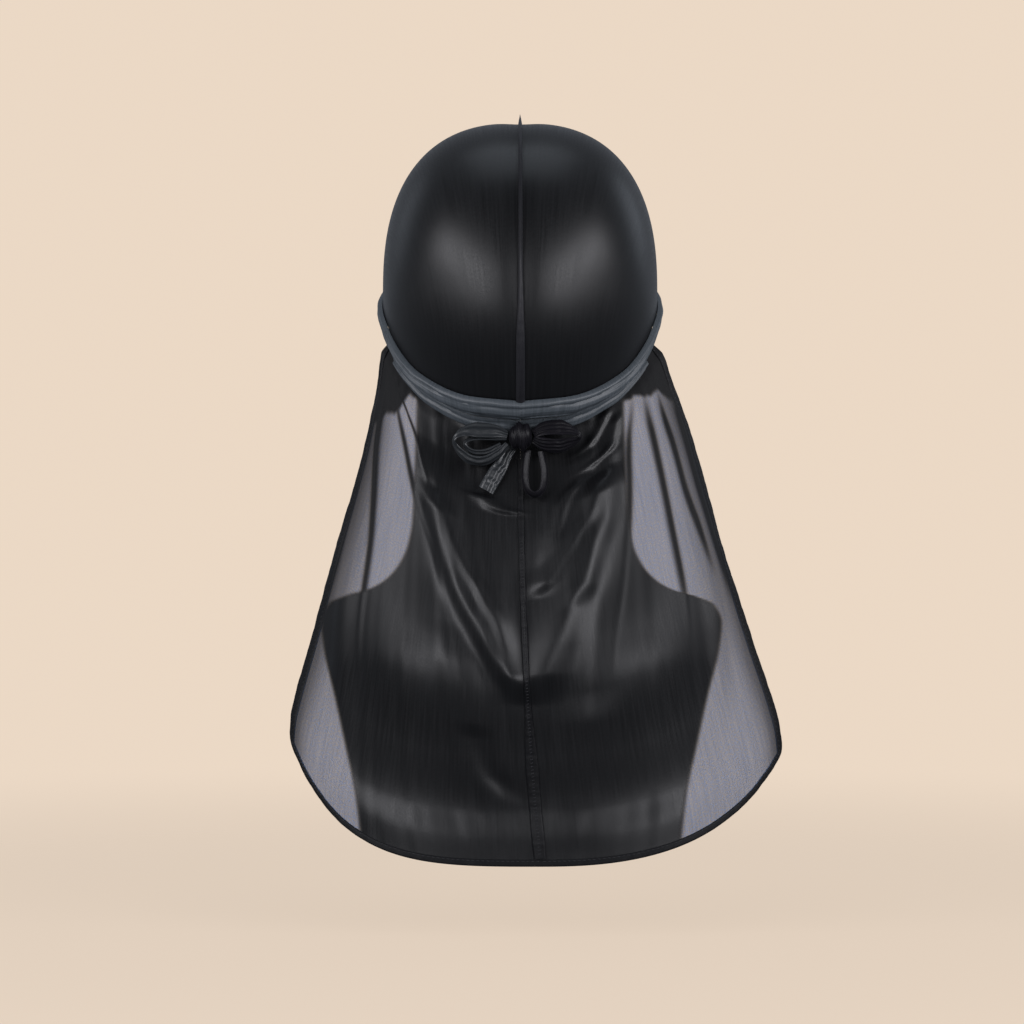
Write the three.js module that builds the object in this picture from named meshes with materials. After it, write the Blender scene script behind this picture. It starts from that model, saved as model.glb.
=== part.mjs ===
// Durag as it is worn, tied behind with a bow. Millimetres, Z up.
// X points to the wearer's right, Y the way the wearer faces.
// The origin is the middle of the head hollow, where a head holds the durag up.
import * as THREE from "three";

const { clamp, degToRad, lerp, radToDeg, smoothstep } = THREE.MathUtils;

// Head hollow, measured from the origin to the outer face of the cloth
const HALF_BREADTH = 78;
const FRONT_REACH = 97;
const BACK_REACH = 101;
const CROWN_RISE = 97;
const NAPE_REACH = 96;
const PLAN_POWER = 2.2;
const BACK_VIEW_POWER = 2.5;
const SIDE_VIEW_POWER = 2.15;
const NAPE_POWER = 2.2;

// Axis through both ears, where the cloth is gathered; angles turn about it from straight ahead over the top
const EAR_BACK = 28;
const EAR_DROP = 24;
const BROW_ANGLE = 13.6;
const NAPE_ANGLE = 237;
const GATHER_ANGLE = 86;

// Cape over the neck
const CAPE_LENGTH = 236.5;
const CAPE_STAND_OFF = 40;
const EDGE_TRAIL = 10;
const LEFT_CORNER_REACH = 128.9;
const RIGHT_CORNER_REACH = 145.9;
const LEFT_CORNER_RISE = 65.4;
const RIGHT_CORNER_RISE = 57.5;
const SEAM_DRIFT = 11;
const SEAM_DRIFT_POWER = 2.2;
const LEFT_HEM_POWER = 3.4;
const RIGHT_HEM_POWER = 2.4;
const EDGE_POWER = 3;
const SETTLED_LEVEL = 0.6;
const FOLD_RISE = 5;
const SHOULDER_RISE = 5;
const SHOULDER_LEVEL = 0.55;
const SHOULDER_SPAN = 0.12;
const SHOULDER_PLACE = 0.5;
const SHOULDER_REACH = 0.28;

// Cloth, seams and hems
const CLOTH_WALL = 1.2;
const HEM_WALL = 2;
const HEM_WIDTH = 5.5;
const PIECE_GAP = 0.45;
const LAY_GAP = 0.65;
const HEM_GAP = PIECE_GAP + (HEM_WALL - CLOTH_WALL) / 2;
const CROWN_SEAM_WIDTH = 5;
const CROWN_SEAM_HEIGHT = 5.5;
const CAPE_SEAM_WIDTH = 6.5;
const SEAM_WALL = 1.1;
const SEAM_START_LEVEL = 0.07;

// Straps and bow
const STRAP_WIDTH = 10.5;
const STRAP_WALL = 1.4;
const STRAP_SWELL = 1.3;
const KNOT_WIDTH = 13;
const KNOT_HEIGHT = 15;
const KNOT_DEPTH = 12;
const LEFT_LOOP_REACH = 29.5;
const LEFT_LOOP_HEIGHT = 20;
const RIGHT_LOOP_REACH = 25.5;
const RIGHT_LOOP_HEIGHT = 14;
const LOOP_DEPTH = 7;
const LOOP_WALL = 3;
const TAIL_LENGTH = 27;
const TAIL_WIDTH = 9;
const HANGING_LOOP_WIDTH = 11.4;
const HANGING_LOOP_LENGTH = 25;

// How the bow's pieces sit, in millimetres unless a share is named
const KNOT_CLEARANCE = 4;
const KNOT_POWER = 0.75;
const KNOT_GROOVES = 3;
const KNOT_GROOVE_SHARE = 0.06;
const LOOP_SETBACK = 1.5;
const LOOP_EDGE_SHARE = 0.6;
const LOOP_CORE_SHARE = 0.2;
const HANGING_LOOP_SIDE_SHARE = 0.6;
const HANGING_LOOP_DEPTH = 5.6;
const HANGING_LOOP_TUCK = 0.6;
const HANGING_LOOP_LEAN = 4;
const TAIL_SIDE = 4;
const TAIL_SPREAD_SHARE = 0.55;
const TAIL_SPREAD_POWER = 0.9;
const TAIL_DROP_SHARE = 0.85;
const TAIL_TUCK = 1.5;
const TAIL_SETBACK = 3.5;
const TAIL_LEAN = 5;
const TAIL_TOP_SHARE = 0.5;
const TAIL_WIDE_SHARE = 0.6;
const TAIL_CREASE = 1;
const TAIL_WIDTHWAYS = new THREE.Vector3(0.85, 0, -0.5).normalize();

// Where the straps end, in degrees from the middle of the back
const STRAP_FIRST_TURN = 0.4;
const STRAP_LAST_TURN = 80;

// Fineness of the grids
const CROWN_ROWS = 14;
const CAPE_ROWS = 23;
const CLOTH_COLUMNS = 22;
const BAND_STATIONS = 56;
const STRAP_STATIONS = 20;
const STRAP_COLUMNS = 3;
const SEAM_STATIONS = 30;
const LOOP_STATIONS = 22;
const SLOPE_STEP = 0.01;

// Shape of the cape, a row for each level, as shares: how far down it is, how far each side has opened
// from the ear to its hem corner, and how far the middle stands back from the nape
const CAPE_LEVELS = [
  { down: 0, left: 0, right: 0, back: 0 },
  { down: 0.03, left: 0.09, right: 0.1, back: 0.04 },
  { down: 0.1, left: 0.12, right: 0.17, back: 0.17 },
  { down: 0.22, left: 0.2, right: 0.3, back: 0.42 },
  { down: 0.35, left: 0.33, right: 0.42, back: 0.64 },
  { down: 0.5, left: 0.51, right: 0.55, back: 0.84 },
  { down: 0.6, left: 0.62, right: 0.65, back: 0.89 },
  { down: 0.75, left: 0.78, right: 0.8, back: 0.82 },
  { down: 0.87, left: 0.915, right: 0.925, back: 0.77 },
  { down: 0.94, left: 0.975, right: 0.978, back: 0.82 },
  { down: 1, left: 1, right: 1, back: 0.85 },
];

// Main folds of the cape, a row for each: its place across the cloth at its upper end, middle and lower
// end (-1 is the left edge, 0 the seam, 1 the right edge), the levels it runs between, its half width
// and its rise
const FOLDS = [
  { top: -0.99, middle: -0.88, foot: -0.74, from: 0, to: 0.8, halfWidth: 0.11, rise: 0.8 },
  { top: -0.82, middle: -0.42, foot: -0.08, from: 0.03, to: 0.66, halfWidth: 0.16, rise: 1 },
  { top: -0.62, middle: -0.4, foot: -0.14, from: 0.3, to: 0.95, halfWidth: 0.17, rise: 0.7 },
  { top: 0.55, middle: 0.28, foot: 0.06, from: 0.05, to: 0.46, halfWidth: 0.15, rise: 0.6 },
  { top: 0.8, middle: 0.5, foot: 0.14, from: 0.03, to: 0.72, halfWidth: 0.16, rise: 1 },
  { top: 0.94, middle: 0.84, foot: 0.7, from: 0, to: 0.85, halfWidth: 0.11, rise: 0.9 },
  { top: 0.5, middle: 0.4, foot: 0.3, from: 0.5, to: 1, halfWidth: 0.16, rise: 0.6 },
];

// The straps' course round the head, a row for each turn from the middle of the back, in degrees,
// with the tilt above the ears' axis and the strap's width as a share
const BAND_COURSE = [
  { turn: 0, tilt: -41.5, width: 1 },
  { turn: 30, tilt: -37.5, width: 1 },
  { turn: 60, tilt: -23, width: 0.85 },
  { turn: 78, tilt: -7, width: 0.7 },
  { turn: 90, tilt: 3, width: 0.65 },
  { turn: 110, tilt: 11, width: 0.75 },
  { turn: 130, tilt: 16, width: 0.9 },
  { turn: 155, tilt: 20, width: 1 },
  { turn: 180, tilt: 21, width: 1 },
];
const STRAP_COURSE = [
  { turn: 0, tilt: -51.8, width: 1 },
  { turn: 30, tilt: -47.4, width: 1 },
  { turn: 60, tilt: -31.7, width: 0.8 },
  { turn: 72, tilt: -20, width: 0.6 },
  { turn: 80, tilt: -12.3, width: 0.4 },
];

// Standing seam of the crown from the brow to the band, as shares of its width and height
const CROWN_SEAM_SHAPE = [
  { along: 0, width: 0.6, height: 0.4 },
  { along: 0.2, width: 0.6, height: 0.75 },
  { along: 0.38, width: 0.7, height: 1 },
  { along: 0.6, width: 0.7, height: 0.55 },
  { along: 0.8, width: 0.9, height: 0.24 },
  { along: 1, width: 1, height: 0.2 },
];

// Each loop of the bow from the knot out and back, as shares of its reach and height
const LEFT_LOOP = [
  { out: 0.01, up: 0.02 },
  { out: 0.3, up: 0.2 },
  { out: 0.72, up: 0.27 },
  { out: 0.95, up: 0.1 },
  { out: 0.98, up: -0.25 },
  { out: 0.75, up: -0.62 },
  { out: 0.45, up: -0.7 },
  { out: 0.18, up: -0.5 },
  { out: 0.01, up: -0.25 },
];
const RIGHT_LOOP = [
  { out: 0.01, up: 0.18 },
  { out: 0.25, up: 0.42 },
  { out: 0.6, up: 0.5 },
  { out: 0.95, up: 0.2 },
  { out: 0.97, up: -0.15 },
  { out: 0.65, up: -0.46 },
  { out: 0.3, up: -0.46 },
  { out: 0.01, up: -0.24 },
];
const HANGING_LOOP = [
  { out: -0.42, up: -0.02 },
  { out: -0.5, up: -0.5 },
  { out: -0.3, up: -0.88 },
  { out: 0.05, up: -1 },
  { out: 0.38, up: -0.86 },
  { out: 0.5, up: -0.5 },
  { out: 0.36, up: -0.04 },
];

// Value of one column of a table at a place along its key column, by a curve that never overshoots its rows
function fromTable(rows, key, column, at) {
  const last = rows.length - 1;
  const slope = (i) => (rows[i + 1][column] - rows[i][column]) / (rows[i + 1][key] - rows[i][key]);
  const tangent = (i) => {
    if (i === 0 || i === last) return slope(i === 0 ? 0 : last - 1);
    const before = slope(i - 1);
    const after = slope(i);
    return before * after <= 0 ? 0 : (2 * before * after) / (before + after);
  };
  let row = 0;
  while (row < last - 1 && at > rows[row + 1][key]) row++;
  const span = rows[row + 1][key] - rows[row][key];
  const t = clamp((at - rows[row][key]) / span, 0, 1);
  const rise = rows[row + 1][column] - rows[row][column];
  const start = span * tangent(row);
  const end = span * tangent(row + 1);
  return (
    rows[row][column] + t * (start + t * (3 * rise - 2 * start - end + t * (start + end - 2 * rise)))
  );
}

// Below zero inside the head form, above zero outside it
function headLevel(p) {
  const above = p.z >= 0;
  const height = Math.min(Math.abs(p.z) / (above ? CROWN_RISE : NAPE_REACH), 1);
  const closing = (power) => (1 - height ** power) ** (1 / power);
  const breadth = HALF_BREADTH * closing(above ? BACK_VIEW_POWER : NAPE_POWER);
  const reach = (p.y > 0 ? FRONT_REACH : BACK_REACH) * closing(above ? SIDE_VIEW_POWER : NAPE_POWER);
  if (breadth <= 0 || reach <= 0) return 1;
  return (Math.abs(p.x) / breadth) ** PLAN_POWER + (Math.abs(p.y) / reach) ** PLAN_POWER - 1;
}

const EARS_MIDDLE = new THREE.Vector3(0, -EAR_BACK, -EAR_DROP);

// Point of the head form that is met first in a direction from the middle of the ears' axis
function onHead(direction) {
  let near = 0;
  let far = 2 * Math.max(BACK_REACH + FRONT_REACH, CROWN_RISE + NAPE_REACH);
  for (let step = 0; step < 48; step++) {
    const middle = (near + far) / 2;
    if (headLevel(EARS_MIDDLE.clone().addScaledVector(direction, middle)) > 0) far = middle;
    else near = middle;
  }
  return EARS_MIDDLE.clone().addScaledVector(direction, near);
}

// Crown point by its angle about the ears' axis and its angle out from the middle towards one ear
function crownPoint(about, outward, side) {
  const a = degToRad(about);
  const o = degToRad(outward);
  return onHead(
    new THREE.Vector3(side * Math.sin(o), Math.cos(o) * Math.cos(a), Math.cos(o) * Math.sin(a)),
  );
}

const NAPE = crownPoint(NAPE_ANGLE, 0, 1);
const EAR = crownPoint(NAPE_ANGLE, GATHER_ANGLE, 1);

// Half breadth of the cape on one side at a level
function capeReach(side, down) {
  const corner = side < 0 ? LEFT_CORNER_REACH : RIGHT_CORNER_REACH;
  const drift = side * SEAM_DRIFT * down ** SEAM_DRIFT_POWER;
  const column = side < 0 ? "left" : "right";
  return lerp(EAR.x, corner, fromTable(CAPE_LEVELS, "down", column, down)) - drift;
}

// Height of the hem at a share out from the seam
function hemHeight(side, out) {
  const rise = side < 0 ? LEFT_CORNER_RISE : RIGHT_CORNER_RISE;
  const power = side < 0 ? LEFT_HEM_POWER : RIGHT_HEM_POWER;
  return NAPE.z - CAPE_LENGTH + rise * out ** power;
}

// Cape without its folds, at a share out from the seam and a share down from the nape
function capePoint(side, out, down) {
  const top = crownPoint(NAPE_ANGLE, out * GATHER_ANGLE, side);
  const x = SEAM_DRIFT * down ** SEAM_DRIFT_POWER + top.x + side * (capeReach(side, down) - EAR.x) * out;
  const standOff = CAPE_STAND_OFF * fromTable(CAPE_LEVELS, "down", "back", down);
  const edge = out ** EDGE_POWER;
  const trail = EDGE_TRAIL * down;
  const gathered = top.y - standOff * (1 - edge) - trail * edge;
  const hanging = lerp(NAPE.y - standOff, EAR.y - trail, edge);
  const y = lerp(gathered, hanging, smoothstep(down, 0, SETTLED_LEVEL));
  return new THREE.Vector3(x, y, lerp(top.z, hemHeight(side, out), down));
}

// Height of the folds over the plain cape
function foldRise(across, down) {
  let total = 0;
  for (const fold of FOLDS) {
    const along = (down - fold.from) / (fold.to - fold.from);
    if (along <= 0 || along >= 1) continue;
    const bow = 2 * fold.middle - (fold.top + fold.foot) / 2;
    const place = (1 - along) ** 2 * fold.top + 2 * along * (1 - along) * bow + along ** 2 * fold.foot;
    const off = (across - place) / fold.halfWidth;
    if (Math.abs(off) >= 1.5) continue;
    const ends = smoothstep(along, 0, 0.2) * (fold.to < 1 ? 1 - smoothstep(along, 0.65, 1) : 1);
    total += fold.rise * ends * Math.cos(Math.PI * off) * (0.5 + 0.5 * Math.cos((Math.PI * off) / 1.5));
  }
  return FOLD_RISE * total;
}

// Soft swell of the cape on both sides of the seam, where it lies over the shoulders
function shoulderRise(across, down) {
  const level = (down - SHOULDER_LEVEL) / SHOULDER_SPAN;
  const place = (Math.abs(across) - SHOULDER_PLACE) / SHOULDER_REACH;
  return SHOULDER_RISE * Math.exp(-(level ** 2) - place ** 2);
}

// The cloth of one side: course 0 to 1 runs from the brow over the crown to the nape, 1 to 2 down the cape
function clothBase(side, course, out) {
  if (course < 1) return crownPoint(lerp(BROW_ANGLE, NAPE_ANGLE, course), out * GATHER_ANGLE, side);
  return capePoint(side, out, course - 1);
}

// Outer face of the cloth with its folds, and the direction out of it
function cloth(side, course, out) {
  const up = Math.max(course - SLOPE_STEP, 0);
  const low = Math.min(course + SLOPE_STEP, 2);
  const near = Math.max(out - SLOPE_STEP, 0);
  const far = Math.min(out + SLOPE_STEP, 1);
  const downward = clothBase(side, low, out).sub(clothBase(side, up, out));
  const sideways = clothBase(side, course, far).sub(clothBase(side, course, near));
  const outward = sideways.cross(downward).normalize().multiplyScalar(-side);
  const down = course - 1;
  const rise = down > 0 ? foldRise(side * out, down) + shoulderRise(out, down) : 0;
  return { point: clothBase(side, course, out).addScaledVector(outward, rise), outward };
}

// Share of the cape's half breadth, or of its length, that a distance in millimetres takes
const shareAcross = (side, course, distance) => distance / capeReach(side, Math.max(course - 1, 0));
function shareDown(side, out, distance) {
  const top = crownPoint(NAPE_ANGLE, out * GATHER_ANGLE, side);
  return distance / (top.z - hemHeight(side, out));
}

const lifted = ({ point, outward }, by) => point.clone().addScaledVector(outward, by);

// One closed body between an outer and an inner skin that share a grid of stations and columns
function wallGeometry(outer, inner) {
  const rows = outer.length;
  const columns = outer[0].length;
  const positions = [...outer.flat(), ...inner.flat()].flatMap((p) => [p.x, p.y, p.z]);
  const at = (layer, i, j) => layer * rows * columns + i * columns + j;
  const index = [];
  const quad = (a, b, c, d) => index.push(a, b, c, a, c, d);
  for (let i = 0; i < rows - 1; i++) {
    for (let j = 0; j < columns - 1; j++) {
      quad(at(0, i, j), at(0, i + 1, j), at(0, i + 1, j + 1), at(0, i, j + 1));
      quad(at(1, i, j), at(1, i, j + 1), at(1, i + 1, j + 1), at(1, i + 1, j));
    }
    quad(at(0, i, 0), at(1, i, 0), at(1, i + 1, 0), at(0, i + 1, 0));
    quad(at(0, i, columns - 1), at(0, i + 1, columns - 1), at(1, i + 1, columns - 1), at(1, i, columns - 1));
  }
  for (let j = 0; j < columns - 1; j++) {
    quad(at(0, 0, j), at(0, 0, j + 1), at(1, 0, j + 1), at(1, 0, j));
    quad(at(0, rows - 1, j), at(1, rows - 1, j), at(1, rows - 1, j + 1), at(0, rows - 1, j + 1));
  }
  const geometry = new THREE.BufferGeometry();
  geometry.setAttribute("position", new THREE.Float32BufferAttribute(positions, 3));
  geometry.setIndex(facingOut(positions, index));
  geometry.computeVertexNormals();
  return geometry;
}

// The same triangles, turned round if they enclose a volume below zero
function facingOut(positions, index) {
  const corner = (i) => new THREE.Vector3().fromArray(positions, 3 * i);
  let volume = 0;
  for (let i = 0; i < index.length; i += 3) {
    volume += corner(index[i]).dot(corner(index[i + 1]).cross(corner(index[i + 2])));
  }
  if (volume > 0) return index;
  return index.map((value, i) => (i % 3 === 0 ? value : index[i % 3 === 1 ? i + 1 : i - 1]));
}

const steps = (count) => Array.from({ length: count + 1 }, (_, i) => i / count);

// One half of the cloth between two courses, ending short of the seam, the side hem and the bottom hem
function clothGeometry(side, rows, firstCourse) {
  const courses = steps(rows).map((t) => firstCourse + t);
  const outer = [];
  const inner = [];
  for (const course of courses) {
    const places = steps(CLOTH_COLUMNS).map((t) => clothPlace(side, course, t, firstCourse === 1));
    outer.push(places.map((place) => place.point));
    inner.push(places.map((place) => lifted(place, -CLOTH_WALL)));
  }
  return wallGeometry(outer, inner);
}

// Place of one column of the cloth on a course; the cape's courses end at the bottom hem
function clothPlace(side, course, column, onCape) {
  const first = shareAcross(side, course, PIECE_GAP / 2);
  const last = onCape ? 1 - hemShare(side, course) - shareAcross(side, course, HEM_GAP) : 1;
  const out = lerp(first, last, column);
  if (!onCape) return cloth(side, course, out);
  const start = shareDown(side, out, PIECE_GAP);
  const end = 1 - shareDown(side, out, HEM_WIDTH + HEM_GAP);
  return cloth(side, 1 + lerp(start, end, course - 1), out);
}

// Share of the half breadth that the side hem takes, growing from nothing at the ear
const hemShare = (side, course) =>
  shareAcross(side, course, HEM_WIDTH) * smoothstep(course - 1, -0.03, 0.03);

// Doubled hem down the free side edge, round the corner and along the bottom to the seam
function hemGeometry(side) {
  const edges = [];
  const start = shareDown(side, 1, PIECE_GAP);
  const cornerEnd = 1 - shareDown(side, 1, HEM_WIDTH);
  for (const t of steps(CAPE_ROWS)) {
    const course = 1 + lerp(start, cornerEnd, t);
    const within = 1 - hemShare(side, course);
    edges.push(t < 1 ? [cloth(side, course, within), cloth(side, course, 1)] : cornerEdge(side, within));
  }
  for (const t of steps(CLOTH_COLUMNS).slice(0, -1).reverse()) {
    const first = shareAcross(side, 2, PIECE_GAP / 2);
    const out = lerp(first, 1 - hemShare(side, 2), t);
    edges.push([cloth(side, 2 - shareDown(side, out, HEM_WIDTH), out), cloth(side, 2, out)]);
  }
  const swell = (HEM_WALL - CLOTH_WALL) / 2;
  const outer = edges.map((edge) => edge.map((place) => lifted(place, swell)));
  const inner = edges.map((edge) => edge.map((place) => lifted(place, -CLOTH_WALL - swell)));
  return wallGeometry(outer, inner);
}

// The mitre of the hem's corner, from its inner corner to the cloth's
function cornerEdge(side, within) {
  return [cloth(side, 2 - shareDown(side, within, HEM_WIDTH), within), cloth(side, 2, 1)];
}

// Band on the head between two turns, following a course of tilts; it is thicker in the middle of its width
function bandGeometry(course, fromTurn, toTurn, stations, side) {
  const outer = [];
  const inner = [];
  for (const t of steps(stations)) {
    const turn = lerp(fromTurn, toTurn, t);
    const half = Math.abs(turn > 180 ? 360 - turn : turn);
    const sign = turn > 180 ? -side : side;
    const tilt = degToRad(fromTable(course, "turn", "tilt", half));
    const width = STRAP_WIDTH * fromTable(course, "turn", "width", half);
    const middle = onHead(headDirection(half, tilt, sign));
    const spread = width / middle.distanceTo(EARS_MIDDLE);
    const places = steps(STRAP_COLUMNS).map((c) => {
      const point = onHead(headDirection(half, tilt + spread * (0.5 - c), sign));
      return { point, outward: headOutward(point), swell: STRAP_SWELL * Math.sin(Math.PI * c) };
    });
    outer.push(places.map((place) => lifted(place, LAY_GAP + STRAP_WALL + place.swell)));
    inner.push(places.map((place) => lifted(place, LAY_GAP)));
  }
  return wallGeometry(outer, inner);
}

function headDirection(turn, tilt, side) {
  const t = degToRad(turn);
  return new THREE.Vector3(
    side * Math.sin(t) * Math.cos(tilt),
    -Math.cos(t) * Math.cos(tilt),
    Math.sin(tilt),
  );
}

// Direction out of the head form
function headOutward(point) {
  const probe = 0.5;
  const slope = ["x", "y", "z"].map((axis) => {
    const ahead = point.clone();
    const behind = point.clone();
    ahead[axis] += probe;
    behind[axis] -= probe;
    return headLevel(ahead) - headLevel(behind);
  });
  return new THREE.Vector3(...slope).normalize();
}

// Tilt just above the band at a turn, in degrees
function bandTop(turn) {
  const tilt = fromTable(BAND_COURSE, "turn", "tilt", turn);
  const middle = onHead(headDirection(turn, degToRad(tilt), 1));
  const half = (STRAP_WIDTH / 2) * fromTable(BAND_COURSE, "turn", "width", turn) + 2 * LAY_GAP;
  return tilt + radToDeg(half / middle.distanceTo(EARS_MIDDLE));
}

// Seam allowance that stands up over the crown and lies flatter towards the nape
function crownSeamGeometry() {
  const outer = [];
  const inner = [];
  for (const along of steps(SEAM_STATIONS)) {
    const about = lerp(bandTop(180), 180 - bandTop(0), along);
    const point = crownPoint(about, 0, 1);
    const outward = headOutward(point);
    const half = (CROWN_SEAM_WIDTH / 2) * fromTable(CROWN_SEAM_SHAPE, "along", "width", along);
    const height = CROWN_SEAM_HEIGHT * fromTable(CROWN_SEAM_SHAPE, "along", "height", along);
    const foot = lifted({ point, outward }, LAY_GAP);
    const section = [
      { x: -half, up: SEAM_WALL / 2 },
      { x: -half / 3, up: height },
      { x: half / 3, up: height },
      { x: half, up: SEAM_WALL / 2 },
    ];
    const raised = (up, x) => foot.clone().addScaledVector(outward, up).setX(x);
    outer.push(section.map(({ x, up }) => raised(up, x)));
    inner.push(section.map(({ x }) => raised(0, x)));
  }
  return wallGeometry(outer, inner);
}

// Flat overlocked seam down the middle of the cape, from under the knot to the hem
function capeSeamGeometry() {
  const outer = [];
  const inner = [];
  const end = 1 - shareDown(1, 0, HEM_WIDTH + PIECE_GAP);
  for (const t of steps(SEAM_STATIONS)) {
    const course = 1 + lerp(SEAM_START_LEVEL, end, t);
    const places = [-1, 0, 1].map((across) => {
      const out = shareAcross(across || 1, course, CAPE_SEAM_WIDTH / 2) * Math.abs(across);
      return cloth(across || 1, course, out);
    });
    outer.push(places.map((place) => lifted(place, LAY_GAP + SEAM_WALL)));
    inner.push(places.map((place) => lifted(place, LAY_GAP)));
  }
  return wallGeometry(outer, inner);
}

// The knot's middle stands clear of the straps that cross behind it
const KNOT_CENTRE = new THREE.Vector3(
  0,
  NAPE.y - STRAP_WALL - STRAP_SWELL - KNOT_DEPTH / 2 - KNOT_CLEARANCE,
  NAPE.z - KNOT_CLEARANCE,
);

// Rounded barrel with the grooves of a strap wound over it
function knotGeometry() {
  const geometry = new THREE.SphereGeometry(1, 20, 12);
  const positions = geometry.getAttribute("position");
  const squared = (value) => Math.sign(value) * Math.abs(value) ** KNOT_POWER;
  for (let i = 0; i < positions.count; i++) {
    const p = new THREE.Vector3().fromBufferAttribute(positions, i);
    const groove = 1 - KNOT_GROOVE_SHARE * (1 - Math.cos(KNOT_GROOVES * Math.PI * p.x));
    positions.setXYZ(
      i,
      KNOT_CENTRE.x + (KNOT_WIDTH / 2) * squared(p.x),
      KNOT_CENTRE.y + (KNOT_DEPTH / 2) * groove * squared(p.y),
      KNOT_CENTRE.z + (KNOT_HEIGHT / 2) * groove * squared(p.z),
    );
  }
  geometry.computeVertexNormals();
  return geometry;
}

// Strap bent along a line of points in the plane of the bow, as deep as the strap is wide there
function bentStrapGeometry(points, depth) {
  const curve = new THREE.CatmullRomCurve3(points, false, "centripetal");
  const outer = [];
  const inner = [];
  for (const t of steps(LOOP_STATIONS)) {
    const point = curve.getPointAt(t);
    const ahead = curve.getTangentAt(t);
    const outward = new THREE.Vector3(ahead.z, 0, -ahead.x).normalize();
    const across = [-0.5, -LOOP_CORE_SHARE, LOOP_CORE_SHARE, 0.5].map((share) => ({
      place: point.clone().setY(point.y + depth * share),
      half: (LOOP_WALL / 2) * (Math.abs(share) < 0.5 ? 1 : LOOP_EDGE_SHARE),
    }));
    outer.push(across.map(({ place, half }) => place.clone().addScaledVector(outward, half)));
    inner.push(across.map(({ place, half }) => place.clone().addScaledVector(outward, -half)));
  }
  return wallGeometry(outer, inner);
}

function bowLoopGeometry(side, table, reach, height) {
  const start = KNOT_WIDTH / 2 + PIECE_GAP;
  const points = table.map(({ out, up }) => {
    const x = side * (start + out * reach);
    const y = KNOT_CENTRE.y - LOOP_SETBACK * (1 - out);
    return new THREE.Vector3(x, y, KNOT_CENTRE.z + up * height);
  });
  return bentStrapGeometry(points, LOOP_DEPTH);
}

// Small loop that hangs from the knot's right half
function hangingLoopGeometry() {
  const top = KNOT_CENTRE.z - KNOT_HEIGHT / 2 - PIECE_GAP + HANGING_LOOP_TUCK;
  const points = HANGING_LOOP.map(
    ({ out, up }) =>
      new THREE.Vector3(
        KNOT_WIDTH * HANGING_LOOP_SIDE_SHARE + out * HANGING_LOOP_WIDTH,
        KNOT_CENTRE.y + up * HANGING_LOOP_LEAN,
        top + up * HANGING_LOOP_LENGTH,
      ),
  );
  return bentStrapGeometry(points, HANGING_LOOP_DEPTH);
}

// Short free end that falls from the knot to the left and widens
function tailGeometry() {
  const outer = [];
  const inner = [];
  for (const t of steps(LOOP_STATIONS / 2)) {
    const half = (TAIL_WIDTH / 2) * lerp(TAIL_TOP_SHARE, 1, smoothstep(t, 0, TAIL_WIDE_SHARE));
    const middle = new THREE.Vector3(
      KNOT_CENTRE.x - TAIL_SIDE - TAIL_SPREAD_SHARE * TAIL_LENGTH * t ** TAIL_SPREAD_POWER,
      KNOT_CENTRE.y + TAIL_SETBACK - TAIL_LEAN * t,
      KNOT_CENTRE.z - KNOT_HEIGHT / 2 - PIECE_GAP + TAIL_TUCK - TAIL_DROP_SHARE * TAIL_LENGTH * t,
    );
    const section = [-1, 0, 1].map((share) =>
      middle.clone().addScaledVector(TAIL_WIDTHWAYS, half * share).setY(middle.y - (share ? 0 : TAIL_CREASE)),
    );
    outer.push(section);
    inner.push(section.map((p) => p.clone().setY(p.y + STRAP_WALL)));
  }
  return wallGeometry(outer, inner);
}

// Finishes
const satin = (color, roughness) => new THREE.MeshStandardMaterial({ color, roughness, metalness: 0 });

function piece(name, geometry, material) {
  const mesh = new THREE.Mesh(geometry, material);
  mesh.name = name;
  return mesh;
}

const durag = new THREE.Group();
durag.add(
  piece("left_crown", clothGeometry(-1, CROWN_ROWS, 0), satin(0x242327, 0.42)),
  piece("right_crown", clothGeometry(1, CROWN_ROWS, 0), satin(0x222225, 0.42)),
  piece("left_cape", clothGeometry(-1, CAPE_ROWS, 1), satin(0x1d1d20, 0.45)),
  piece("right_cape", clothGeometry(1, CAPE_ROWS, 1), satin(0x1d1d20, 0.45)),
  piece("crown_seam", crownSeamGeometry(), satin(0x2a2a2e, 0.5)),
  piece("cape_seam", capeSeamGeometry(), satin(0x1e1e20, 0.6)),
  piece("left_hem", hemGeometry(-1), satin(0x18181a, 0.5)),
  piece("right_hem", hemGeometry(1), satin(0x18181a, 0.5)),
  piece(
    "strap_left",
    bandGeometry(STRAP_COURSE, STRAP_FIRST_TURN, STRAP_LAST_TURN, STRAP_STATIONS, -1),
    satin(0x1e1e23, 0.4),
  ),
  piece(
    "strap_right",
    bandGeometry(STRAP_COURSE, STRAP_FIRST_TURN, STRAP_LAST_TURN, STRAP_STATIONS, 1),
    satin(0x37393d, 0.4),
  ),
  piece(
    "wrap_band",
    bandGeometry(BAND_COURSE, STRAP_FIRST_TURN, 360 - STRAP_FIRST_TURN, BAND_STATIONS, 1),
    satin(0x2b2c30, 0.4),
  ),
  piece("knot", knotGeometry(), satin(0x1c1c1f, 0.4)),
  piece(
    "bow_loop_left",
    bowLoopGeometry(-1, LEFT_LOOP, LEFT_LOOP_REACH, LEFT_LOOP_HEIGHT),
    satin(0x232327, 0.4),
  ),
  piece(
    "bow_loop_right",
    bowLoopGeometry(1, RIGHT_LOOP, RIGHT_LOOP_REACH, RIGHT_LOOP_HEIGHT),
    satin(0x232327, 0.4),
  ),
  piece("bow_tail_left", tailGeometry(), satin(0x26262a, 0.4)),
  piece("bow_tail_right", hangingLoopGeometry(), satin(0x26262a, 0.4)),
);

export default durag;
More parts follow.
